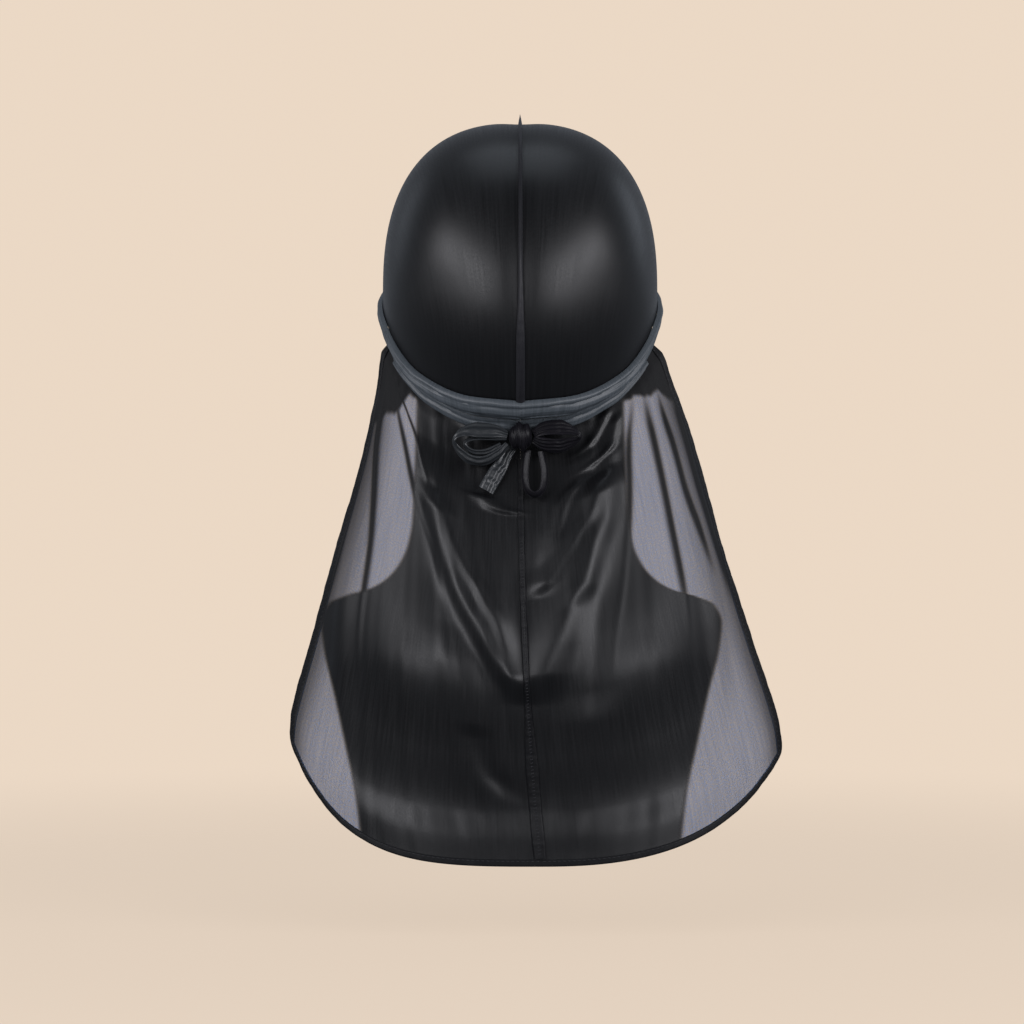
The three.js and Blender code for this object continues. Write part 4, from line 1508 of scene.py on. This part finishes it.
@dataclass
class CapeSeam:
    """Flat overlocked seam down the middle of the cape."""

    drape: Drape = Drape()
    width: float = 6.5
    wall: float = 1.0
    lay_gap: float = 0.3
    start: float = 0.07
    hem_gap: float = 0.3
    narrow: float = 0.42
    spread: float = 0.5
    spread_over: tuple[float, float] = (0.6, 0.78)
    edge_wander: float = 0.05
    pucker_rise: float = 0.07
    foot: float = 0.1
    hem_width: float = 3.8
    stations: int = 360
    section_points: int = 11

    def surface(self) -> Surface:
        """Strip on the cloth that widens towards the hem, thicker at its edges, with small puckers along it.

        Returns:
            The surface.
        """
        end = 1 - float(self.drape.share_down(Side.RIGHT, np.array(0.0), self.hem_width + self.hem_gap))
        down = np.linspace(self.start, end, self.stations)
        share = np.linspace(-1.0, 1.0, self.section_points)
        width = self.narrow + self.edge_wander * waver(down * 7, 4)
        width = self.width / 2 * (width + self.spread * smoothstep(down, *self.spread_over))
        grids = []
        for side in (Side.LEFT, Side.RIGHT):
            on = share[share <= 0] if side is Side.LEFT else share[share > 0]
            out = np.abs(on)[None, :] * (width / self.drape.cape.reach(side, down))[:, None]
            course = 1 + down[:, None] + 0 * out
            points, outward, _ = self.drape.cloth(side, course, out)
            grids.append((points, outward))
        points = np.concatenate([g[0] for g in grids], axis=1)
        outward = np.concatenate([g[1] for g in grids], axis=1)
        pucker = self.pucker_rise * waver(down * 30, 6)
        round_up = np.sqrt(np.clip(1 - share**6, 0.0, 1.0))[None, :]
        thick = self.wall * (0.5 + 0.5 * np.abs(share) ** 2)
        lift = self.lay_gap + (thick[None, :] + pucker[:, None]) * round_up
        return Surface(points + lift[..., None] * outward, points + self.foot * outward, arc_uv(points))

    def stitches(self) -> "Stitches":
        """Slanted overlock stitches over the strip, from its first fifth to the hem.

        Returns:
            The row.
        """
        grid = self.surface().outer[self.stations // 5 :]
        middle = self.section_points // 2
        across = grid[:, middle + 1] - grid[:, middle - 1]
        outward = np.cross(slopes(grid[:, middle], 0), across)
        line = grid[:, middle]
        return Stitches("stitches_seam", Slot.CAPE_SEAM, line, across, outward, 1.9, 2.0, slant=72.0)

    def build(self, finish: bpy.types.Material) -> bpy.types.Object:
        """Mesh and dress the seam."""
        mesh = self.surface().mesh("cape_seam_strip")
        return place("cape_seam_strip", mesh, finish, Slot.CAPE_SEAM, ("cape_seam",))


@dataclass(frozen=True)
class Way:
    """One point of a ribbon's way in the plane of the bow, with its width as a share and its face's turn.

    out and up are shares of the loop's reach and height; turn is in degrees, 0 where the face looks
    up or down and 90 where it looks back at the viewer; toward is how far it stands back, in millimetres.
    """

    out: float
    up: float
    width: float
    turn: float
    toward: float


LEFT_LOOP = (
    Way(0.0, 0.05, 0.5, 72, 0.0),
    Way(0.3, 0.16, 0.95, 66, 1.2),
    Way(0.7, 0.19, 1.05, 62, 1.5),
    Way(0.95, 0.04, 0.8, 35, 1.0),
    Way(0.98, -0.25, 0.7, -20, 0.0),
    Way(0.75, -0.6, 0.72, -48, 0.5),
    Way(0.45, -0.68, 0.72, -52, 1.0),
    Way(0.18, -0.48, 0.6, -58, 0.5),
    Way(0.0, -0.22, 0.4, -60, 0.0),
)
INNER_LOOP = (
    Way(0.02, -0.02, 0.4, 40, -0.6),
    Way(0.3, 0.0, 0.55, 40, -0.4),
    Way(0.62, -0.02, 0.55, 35, -0.2),
    Way(0.8, -0.18, 0.5, 10, 0.0),
    Way(0.68, -0.42, 0.5, -35, 0.0),
    Way(0.4, -0.44, 0.5, -45, 0.2),
    Way(0.12, -0.24, 0.35, -45, 0.0),
)
RIGHT_LOOP = (
    Way(0.0, 0.12, 0.6, 62, 0.0),
    Way(0.25, 0.33, 1.0, 60, 1.0),
    Way(0.6, 0.37, 1.1, 58, 1.2),
    Way(0.95, 0.18, 0.95, 30, 0.8),
    Way(0.98, -0.12, 0.9, -25, 0.0),
    Way(0.65, -0.36, 1.0, -55, 0.6),
    Way(0.3, -0.36, 0.95, -58, 0.8),
    Way(0.0, -0.16, 0.55, -60, 0.0),
)

# Way of the small hanging loop from the knot down and back, as shares (out, up) of its width and length
HANGING_WAY = (
    (-0.38, -0.02),
    (-0.5, -0.5),
    (-0.4, -0.86),
    (0.0, -1.0),
    (0.4, -0.86),
    (0.5, -0.5),
    (0.34, -0.04),
)


@dataclass(frozen=True)
class KnotPlace:
    """Where the knot is and how large, worked out from the nape as the straps cross there."""

    cape: Cape = Cape()
    width: float = 13.0
    height: float = 15.0
    depth: float = 12.0
    strap_wall: float = 1.4
    strap_swell: float = 1.3
    clearance: float = 4.0

    @property
    def centre(self) -> np.ndarray:
        """Middle of the knot."""
        back = self.strap_wall + self.strap_swell + self.depth / 2 + self.clearance
        return self.cape.nape + np.array([0.0, -back, -self.clearance])


@dataclass
class Ribbon:
    """Strap bent along a line, with creases along it; its ends are gathered narrow."""

    name: str
    node: str
    centre: np.ndarray
    face: np.ndarray
    half_width: np.ndarray
    wall: float = 1.1
    creases: int = 3
    crease_rise: float = 0.45
    cup: float = 0.8
    crease_wander: float = 0.18
    section_points: int = 25
    seed: int = 3

    def surface(self) -> Surface:
        """Ribbon wall: the section is cupped and carries a row of cosine creases that wander along it.

        Returns:
            The surface.
        """
        tangent = unit(slopes(self.centre, 0))
        normal = unit(self.face - (self.face * tangent).sum(-1, keepdims=True) * tangent)
        widthways = np.cross(tangent, normal)
        share = np.linspace(-1.0, 1.0, self.section_points)[None, :]
        along = np.linspace(0.0, 1.0, len(self.centre))[:, None]
        wander = self.crease_wander * waver(along * 1.3, self.seed)
        waves = np.cos(np.pi * self.creases * (share + wander)) * (1 - 0.3 * share**2)
        depth = self.crease_rise * waves - self.cup * share**2
        spread = (self.half_width[:, None] * share)[..., None] * widthways[:, None, :]
        middle = self.centre[:, None, :] + spread + depth[..., None] * normal[:, None, :]
        half_wall = self.wall / 2 * np.sqrt(np.clip(1 - np.abs(share) ** 8, 0.05, 1.0))
        lift = (half_wall + 0 * along)[..., None] * normal[:, None, :]
        return Surface(middle + lift, middle - lift, arc_uv(middle))

    def build(self, finish: bpy.types.Material) -> bpy.types.Object:
        """Mesh and dress the ribbon."""
        return place(self.name, self.surface().mesh(self.name), finish, Slot.BOW, (self.node,))


@dataclass
class Bow:
    """Knot, two loops, a short end and a small hanging loop."""

    knot: KnotPlace = KnotPlace()
    left_reach: float = 29.5
    left_height: float = 20.0
    right_reach: float = 25.5
    right_height: float = 14.0
    loop_width: float = 9.0
    piece_gap: float = 0.45
    tail_length: float = 27.0
    tail_width: float = 9.5
    hanging_width: float = 11.4
    hanging_length: float = 25.0
    hanging_turn: float = 35.0
    hanging_half_strap: float = 2.9
    knot_rows: int = 96
    knot_columns: int = 64
    knot_power: float = 2.6
    knot_windings: float = 1.2
    knot_groove: float = 0.12
    stations: int = 120

    def loop(self, side: Side, rows: Sequence[Way], name: str, creases: int, seed: int) -> Ribbon:
        """Loop of one side, along a table of ways.

        Args:
            side: side of the knot that it stands out to.
            rows: its way out and back.
            name: name of the ribbon.
            creases: how many creases run along it.
            seed: number that picks how the creases wander.

        Returns:
            The bent ribbon.
        """
        left = side is Side.LEFT
        reach = self.left_reach if left else self.right_reach
        height = self.left_height if left else self.right_height
        x = np.array([self.knot.width / 2 + self.piece_gap + row.out * reach for row in rows]) * side.value
        z = np.array(column(rows, "up")) * height
        y = -np.array(column(rows, "toward")) - 1.5 * (1 - np.array(column(rows, "out")))
        points = self.knot.centre + np.stack([x, y, z], axis=-1)
        centre = spline(points, self.stations)
        keys = np.linspace(0.0, 1.0, len(rows))
        at = np.linspace(0.0, 1.0, self.stations)
        turn = np.radians(np.interp(at, keys, column(rows, "turn")))
        tangent = unit(slopes(centre, 0))
        plane = unit(np.stack([-tangent[:, 2], 0 * tangent[:, 0], tangent[:, 0]], axis=-1)) * side.value
        back = np.array([0.0, -1.0, 0.0])
        face = np.cos(turn)[:, None] * plane + np.sin(np.abs(turn))[:, None] * back
        half = self.loop_width / 2 * through(keys, column(rows, "width"), at)
        node = f"bow_loop_{side.word}"
        return Ribbon(name, node, centre, face, half, creases=creases, crease_rise=0.36, seed=seed)

    def tail(self) -> Ribbon:
        """Short free end that falls from the knot to the left and widens.

        Returns:
            The ribbon.
        """
        t = np.linspace(0.0, 1.0, self.stations)
        offset = np.stack(
            [
                -4 - 0.55 * self.tail_length * t**0.9,
                3.5 - 5 * t,
                -self.knot.height / 2 - self.piece_gap + 1.5 - 0.85 * self.tail_length * t,
            ],
            axis=-1,
        )
        centre = self.knot.centre + offset
        face = np.zeros(centre.shape) + np.array([0.0, -1.0, 0.0])
        half = self.tail_width / 2 * mix(0.5, 0.95, smoothstep(t, 0.0, 0.6))
        return Ribbon("tail_short", "bow_tail_left", centre, face, half, creases=2, crease_rise=0.4, seed=23)

    def hanging_loop(self) -> Ribbon:
        """Small loop that hangs from the knot's right half, along a spline.

        Returns:
            The bent ribbon.
        """
        out, up = np.array(HANGING_WAY).T
        top = -self.knot.height / 2 - self.piece_gap + 0.6
        x = self.knot.width * 0.6 + out * self.hanging_width
        points = self.knot.centre + np.stack([x, up * 4, top + up * self.hanging_length], axis=-1)
        centre = spline(points, self.stations)
        tangent = unit(slopes(centre, 0))
        plane = unit(np.stack([tangent[:, 2], 0 * tangent[:, 0], -tangent[:, 0]], axis=-1))
        turn = math.radians(self.hanging_turn)
        face = plane * math.cos(turn) + np.array([0.0, -1.0, 0.0]) * math.sin(turn)
        half = np.full(self.stations, self.hanging_half_strap)
        ribbon = Ribbon("tail_loop", "bow_tail_right", centre, face, half, creases=1, seed=27)
        return replace(ribbon, crease_rise=0.3, cup=0.4)

    def knot_mesh(self) -> bpy.types.Mesh:
        """Knot as a strap wound over a barrel: cosine grooves run round it, and the windings shift along it.

        Returns:
            The mesh, closed by a pole at each end.
        """
        rows, columns = self.knot_rows, self.knot_columns
        u = np.linspace(0.0, 2 * np.pi, rows, endpoint=False)[:, None]
        v = np.linspace(-1.0, 1.0, columns)[None, :]
        cap = np.sqrt(np.clip(1 - np.abs(v) ** self.knot_power, 0.0, 1.0))
        wind = 2 * np.pi * self.knot_windings * (v + 0.2 * np.sin(u)) + 0.35 * np.sin(2 * u + 1)
        groove = 1 + self.knot_groove * np.cos(wind) * cap
        fine = 1 + 0.022 * np.cos(5 * wind + 1.1) + 0.012 * np.cos(9 * wind + 3 * v)
        radial = cap * groove * fine
        x = self.knot.width / 2 * v + 0 * u
        y = self.knot.depth / 2 * radial * np.cos(u)
        z = self.knot.height / 2 * radial * np.sin(u) * (1 + 0.06 * v)
        points = (self.knot.centre + np.stack([x, y, z], axis=-1)) * MM
        inner = slice(1, columns - 1)
        ring = points[:, inner].reshape(-1, 3)
        count = columns - 2
        poles = np.stack([points[0, 0], points[0, -1]])
        number = np.arange(rows * count).reshape(rows, count)
        number = np.concatenate([number, number[:1]], axis=0)
        quads = np.stack([number[:-1, :-1], number[1:, :-1], number[1:, 1:], number[:-1, 1:]], -1)
        first = np.full(rows, rows * count)
        caps = [
            np.stack([number[:-1, 0], first, first, number[1:, 0]], -1),
            np.stack([number[1:, -1], first + 1, first + 1, number[:-1, -1]], -1),
        ]
        across = np.linspace(0, 0.012, count)
        around = np.linspace(0, 0.04, rows)
        uv = np.stack(np.meshgrid(across, around), -1).reshape(-1, 2)
        uv = np.concatenate([uv, uv[:2]])
        return capped_mesh("knot_wound", np.concatenate([ring, poles]), quads.reshape(-1, 4), caps, uv)

    def build(self, tight: bpy.types.Material, lit_cloth: bpy.types.Material) -> list[bpy.types.Object]:
        """Mesh and dress the bow's pieces.

        Args:
            tight: finish where the strap is pulled tight, as in the knot.
            lit_cloth: finish where it lies open, coloured lighter as painted sheen.

        Returns:
            The pieces.
        """
        made = [place("knot_wound", self.knot_mesh(), tight, Slot.BOW, ("knot",))]
        ribbons = (
            (self.loop(Side.LEFT, LEFT_LOOP, "bow_left", 2, 5), lit_cloth),
            (self.loop(Side.LEFT, INNER_LOOP, "bow_left_inner", 2, 15), lit_cloth),
            (self.loop(Side.RIGHT, RIGHT_LOOP, "bow_right", 4, 9), tight),
            (self.tail(), lit_cloth),
            (self.hanging_loop(), tight),
        )
        return made + [ribbon.build(finish) for ribbon, finish in ribbons]


def capped_mesh(
    name: str, points: np.ndarray, quads: np.ndarray, caps: Sequence[np.ndarray], uv: np.ndarray
) -> bpy.types.Mesh:
    """Closed mesh of quads with a fan of triangles at each pole.

    Args:
        name: name of the mesh.
        points: vertices in metres, the poles last.
        quads: four vertex numbers a row.
        caps: for each pole rows of four numbers, whose middle two are the pole.
        uv: UV place of each vertex.

    Returns:
        The mesh, with its faces pointing out.
    """
    triangles = [cap[:, [0, 1, 3]].tolist() for cap in caps]
    mesh = bpy.data.meshes.new(name)
    mesh.from_pydata(points.tolist(), [], quads.tolist() + triangles[0] + triangles[1])
    mesh.update()
    layer = mesh.uv_layers.new(name="Cloth")
    corners = np.zeros(len(mesh.loops), np.int32)
    mesh.loops.foreach_get("vertex_index", corners)
    layer.data.foreach_set("uv", uv[corners].astype(np.float32).ravel())
    a, b, c, d = (points[quads[:, i]] for i in range(4))
    middle = points.mean(axis=0)
    volume = ((a - middle) * np.cross(b - middle, c - middle)).sum()
    volume += ((a - middle) * np.cross(c - middle, d - middle)).sum()
    if volume < 0:
        mesh.flip_normals()
    mesh.shade_smooth()
    return mesh


def spline(points: np.ndarray, count: int) -> np.ndarray:
    """Catmull-Rom spline through points, evenly spaced along its length and worked out as one array.

    Args:
        points: points that it passes.
        count: number of points wanted.

    Returns:
        The curve's points.
    """
    ghost = np.concatenate([2 * points[:1] - points[1:2], points, 2 * points[-1:] - points[-2:-1]])
    fine = np.linspace(0, len(points) - 1 - 1e-9, 60 * len(points))
    i = fine.astype(int)
    t = (fine - i)[:, None]
    p0, p1, p2, p3 = ghost[i], ghost[i + 1], ghost[i + 2], ghost[i + 3]
    cubic = (-p0 + 3 * p1 - 3 * p2 + p3) * t**3
    line = 0.5 * (2 * p1 + (p2 - p0) * t + (2 * p0 - 5 * p1 + 4 * p2 - p3) * t**2 + cubic)
    length = np.concatenate([[0.0], np.cumsum(np.linalg.norm(np.diff(line, axis=0), axis=-1))])
    even = np.linspace(0.0, length[-1], count)
    return np.stack([np.interp(even, length, line[:, k]) for k in range(3)], axis=-1)


@dataclass(frozen=True)
class Softbox:
    """Rectangular light: where it is by azimuth and elevation from the middle, its size, roll and power."""

    name: str
    azimuth: float
    elevation: float
    distance: float
    width: float
    height: float
    roll: float
    power: float
    colour: tuple[float, float, float] = (0.96, 0.955, 1.0)

    def build(self, middle: Vector) -> bpy.types.Object:
        """Area light that faces the middle and isn't seen itself.

        Args:
            middle: what it faces, in metres.

        Returns:
            The light.
        """
        a = math.radians(self.azimuth)
        e = math.radians(self.elevation)
        toward = Vector((math.sin(a) * math.cos(e), -math.cos(a) * math.cos(e), math.sin(e)))
        lamp = bpy.data.lights.new(self.name, "AREA")
        lamp.shape = "RECTANGLE"
        lamp.size = self.width
        lamp.size_y = self.height
        lamp.energy = self.power
        lamp.color = self.colour
        light = bpy.data.objects.new(self.name, lamp)
        roll = Matrix.Rotation(math.radians(self.roll), 3, "Z").to_quaternion()
        light.rotation_mode = "QUATERNION"
        light.rotation_quaternion = toward.to_track_quat("Z", "Y") @ roll
        light.location = middle + self.distance * toward
        light.visible_camera = False
        bpy.context.scene.collection.objects.link(light)
        return light


@dataclass
class Studio:
    """Pale floor and surround, soft lights and the camera."""

    floor_height: float = -0.352
    floor_radius: float = 1.15
    felt_strength: float = 0.33
    floor_glow: float = 0.78
    light_middle: tuple[float, float, float] = (0.0, 0.0, -0.05)
    pale: tuple[float, float, float] = (0.83, 0.69, 0.56)
    cool: tuple[float, float, float] = (0.74, 0.8, 0.9)
    floor_tint: tuple[float, float, float] = (0.09, 0.075, 0.06)
    sight: Sight = Sight()
    softboxes: tuple[Softbox, ...] = (
        Softbox("left_softbox", -48, 14, 1.8, 2.3, 0.5, -18, 45),
        Softbox("right_softbox", 48, 14, 1.8, 2.3, 0.5, 18, 47),
        Softbox("left_rim", -128, 22, 1.8, 0.5, 0.8, 0, 1.0, (0.8, 0.88, 1.0)),
        Softbox("right_rim", 128, 22, 1.8, 0.5, 0.8, 0, 1.8, (0.8, 0.88, 1.0)),
        Softbox("top_softbox", 0, 94, 1.6, 1.3, 1.0, 0, 7, (0.82, 0.9, 1.0)),
    )

    def surround(self) -> None:
        """World that the camera sees as a pale even wall and that lights the cloth only a little."""
        world = bpy.data.worlds.new("surround")
        bpy.context.scene.world = world
        world.use_nodes = True
        s = Shader(world.node_tree)
        path = s.add("ShaderNodeLightPath")
        seen = s.add("ShaderNodeBackground", {"Color": (*self.pale, 1), "Strength": 1.0})
        felt = s.add("ShaderNodeBackground", {"Color": (*self.cool, 1), "Strength": self.felt_strength})
        is_seen = path.outputs["Is Camera Ray"]
        both = s.add("ShaderNodeMixShader", {0: is_seen, 1: felt.outputs[0], 2: seen.outputs[0]})
        s.add("ShaderNodeOutputWorld", {"Surface": both.outputs[0]})

    def floor(self) -> None:
        """Round pale floor that fades into the surround at its rim."""
        middle = (0, 0, self.floor_height)
        bpy.ops.mesh.primitive_circle_add(
            vertices=96, radius=self.floor_radius, fill_type="NGON", location=middle
        )
        floor = bpy.context.object
        floor.name = "floor"
        material = bpy.data.materials.new("pale_floor")
        material.use_nodes = True
        s = Shader(material.node_tree)
        place_node = s.add("ShaderNodeTexCoord").outputs["Object"]
        distance = s.add("ShaderNodeVectorMath", {0: place_node}, operation="LENGTH").outputs["Value"]
        alpha = s.ramp(distance, 0.25 * self.floor_radius, 0.95 * self.floor_radius, (1, 0))
        glow = s.add("ShaderNodeEmission", {"Color": (*self.pale, 1), "Strength": self.floor_glow})
        diffuse = s.add("ShaderNodeBsdfDiffuse", {"Color": (*self.floor_tint, 1)})
        lit = s.add("ShaderNodeAddShader", {0: glow.outputs[0], 1: diffuse.outputs[0]})
        clear = s.add("ShaderNodeBsdfTransparent")
        both = s.add("ShaderNodeMixShader", {0: alpha, 1: clear.outputs[0], 2: lit.outputs[0]})
        s.add("ShaderNodeOutputMaterial", {"Surface": both.outputs[0]})
        floor.data.materials.append(material)
        floor.visible_glossy = False
        floor.visible_diffuse = False

    def camera(self) -> None:
        """Camera straight behind the durag, a little below its middle."""
        data = bpy.data.cameras.new("camera")
        data.lens = self.sight.lens
        data.sensor_width = self.sight.sensor
        data.clip_end = 50
        camera = bpy.data.objects.new("camera", data)
        camera.location = Vector(self.sight.place) * MM
        camera.rotation_euler = (math.radians(90), 0, 0)
        bpy.context.scene.collection.objects.link(camera)
        bpy.context.scene.camera = camera

    def build(self) -> None:
        """Set up everything round the durag."""
        bpy.context.scene.view_settings.view_transform = "Standard"
        self.camera()
        self.surround()
        self.floor()
        for box in self.softboxes:
            box.build(Vector(self.light_middle))


HEM_FINISH = Satin("hem_cloth", colour=(0.0022, 0.0022, 0.0027), roughness=0.55, specular=0.1)
# Straps in the same black satin, coloured much lighter: painted sheen.
STRAP_SHEEN_FINISH = Satin(
    "strap_cloth",
    colour=(0.024, 0.029, 0.033),
    streak_colour=(0.041, 0.047, 0.054),
    roughness=0.46,
    specular=0.26,
)
TIGHT_FINISH = Satin(
    "bow_cloth", colour=(0.0022, 0.002, 0.0027), streak_colour=(0.0055, 0.005, 0.0065), specular=0.08
)
# Open loops and the short end in the same satin, coloured lighter than the knot: painted sheen.
BOW_SHEEN_FINISH = Satin(
    "bow_loop_cloth", colour=(0.0055, 0.0065, 0.0075), streak_colour=(0.011, 0.0125, 0.014), specular=0.32
)
# Crown seam coloured lighter than the cloth: painted highlight along the standing seam's edge.
SEAM_HIGHLIGHT_FINISH = Satin(
    "seam_cloth",
    colour=(0.006, 0.0058, 0.0072),
    streak_colour=(0.01, 0.0098, 0.0115),
    roughness=0.5,
    bump=0.06,
)
STRIP_FINISH = Satin(
    "strip_cloth", colour=(0.0017, 0.0017, 0.0022), roughness=0.5, specular=0.1, bump=0.06
)
THREAD_FINISH = Satin("thread", colour=(0.012, 0.012, 0.014), roughness=0.5, bump=0.0)
BAND_ROLLS = (Roll(0.14, 0.24, 1.9), Roll(0.56, 0.36, 2.2), Roll(0.93, 0.16, 1.1))
STRAP_ROLLS = (Roll(0.2, 0.26, 1.0), Roll(0.66, 0.36, 1.9))


def strap_of(side: Side) -> Band:
    """Strap of one side, from the front corner behind the ear to the nape.

    Args:
        side: the half that it comes from.

    Returns:
        The strap.
    """
    return Band(
        f"strap_tied_{side.word}",
        f"strap_{side.word}",
        STRAP_COURSE,
        STRAP_ROLLS,
        first_turn=0.02,
        last_turn=80.0,
        side=side.value,
        stations=160,
        seed=40 + side.value,
    )


def main() -> None:
    """Build the durag piece by piece, then the studio round it."""
    logging.basicConfig(level=logging.INFO, format="%(message)s")
    knit = knit_group()
    cloth_finish = SheerSatin("silky_cloth").build(knit)
    hem_finish = HEM_FINISH.build(knit)
    strap_sheen_finish = STRAP_SHEEN_FINISH.build(knit)
    thread_finish = THREAD_FINISH.build(knit)
    cloths = [ClothHalf(side).build(cloth_finish) for side in Side]
    hems = [Hem(side).build(hem_finish) for side in Side]
    stitches = [Hem(side).stitches().build(thread_finish) for side in Side]
    stitches.append(CapeSeam().stitches().build(thread_finish))
    seams = [CrownSeam().build(SEAM_HIGHLIGHT_FINISH.build(knit)), CapeSeam().build(STRIP_FINISH.build(knit))]
    band = Band("band_wrapped", "wrap_band", BAND_COURSE, BAND_ROLLS, ring=True).build(strap_sheen_finish)
    straps = [strap_of(side).build(strap_sheen_finish) for side in Side]
    bow = Bow().build(TIGHT_FINISH.build(knit), BOW_SHEEN_FINISH.build(knit))
    LOG.info("pieces: %d", len([*cloths, *hems, *stitches, *seams, band, *straps, *bow]))
    Studio().build()


if __name__ == "__main__":
    main()
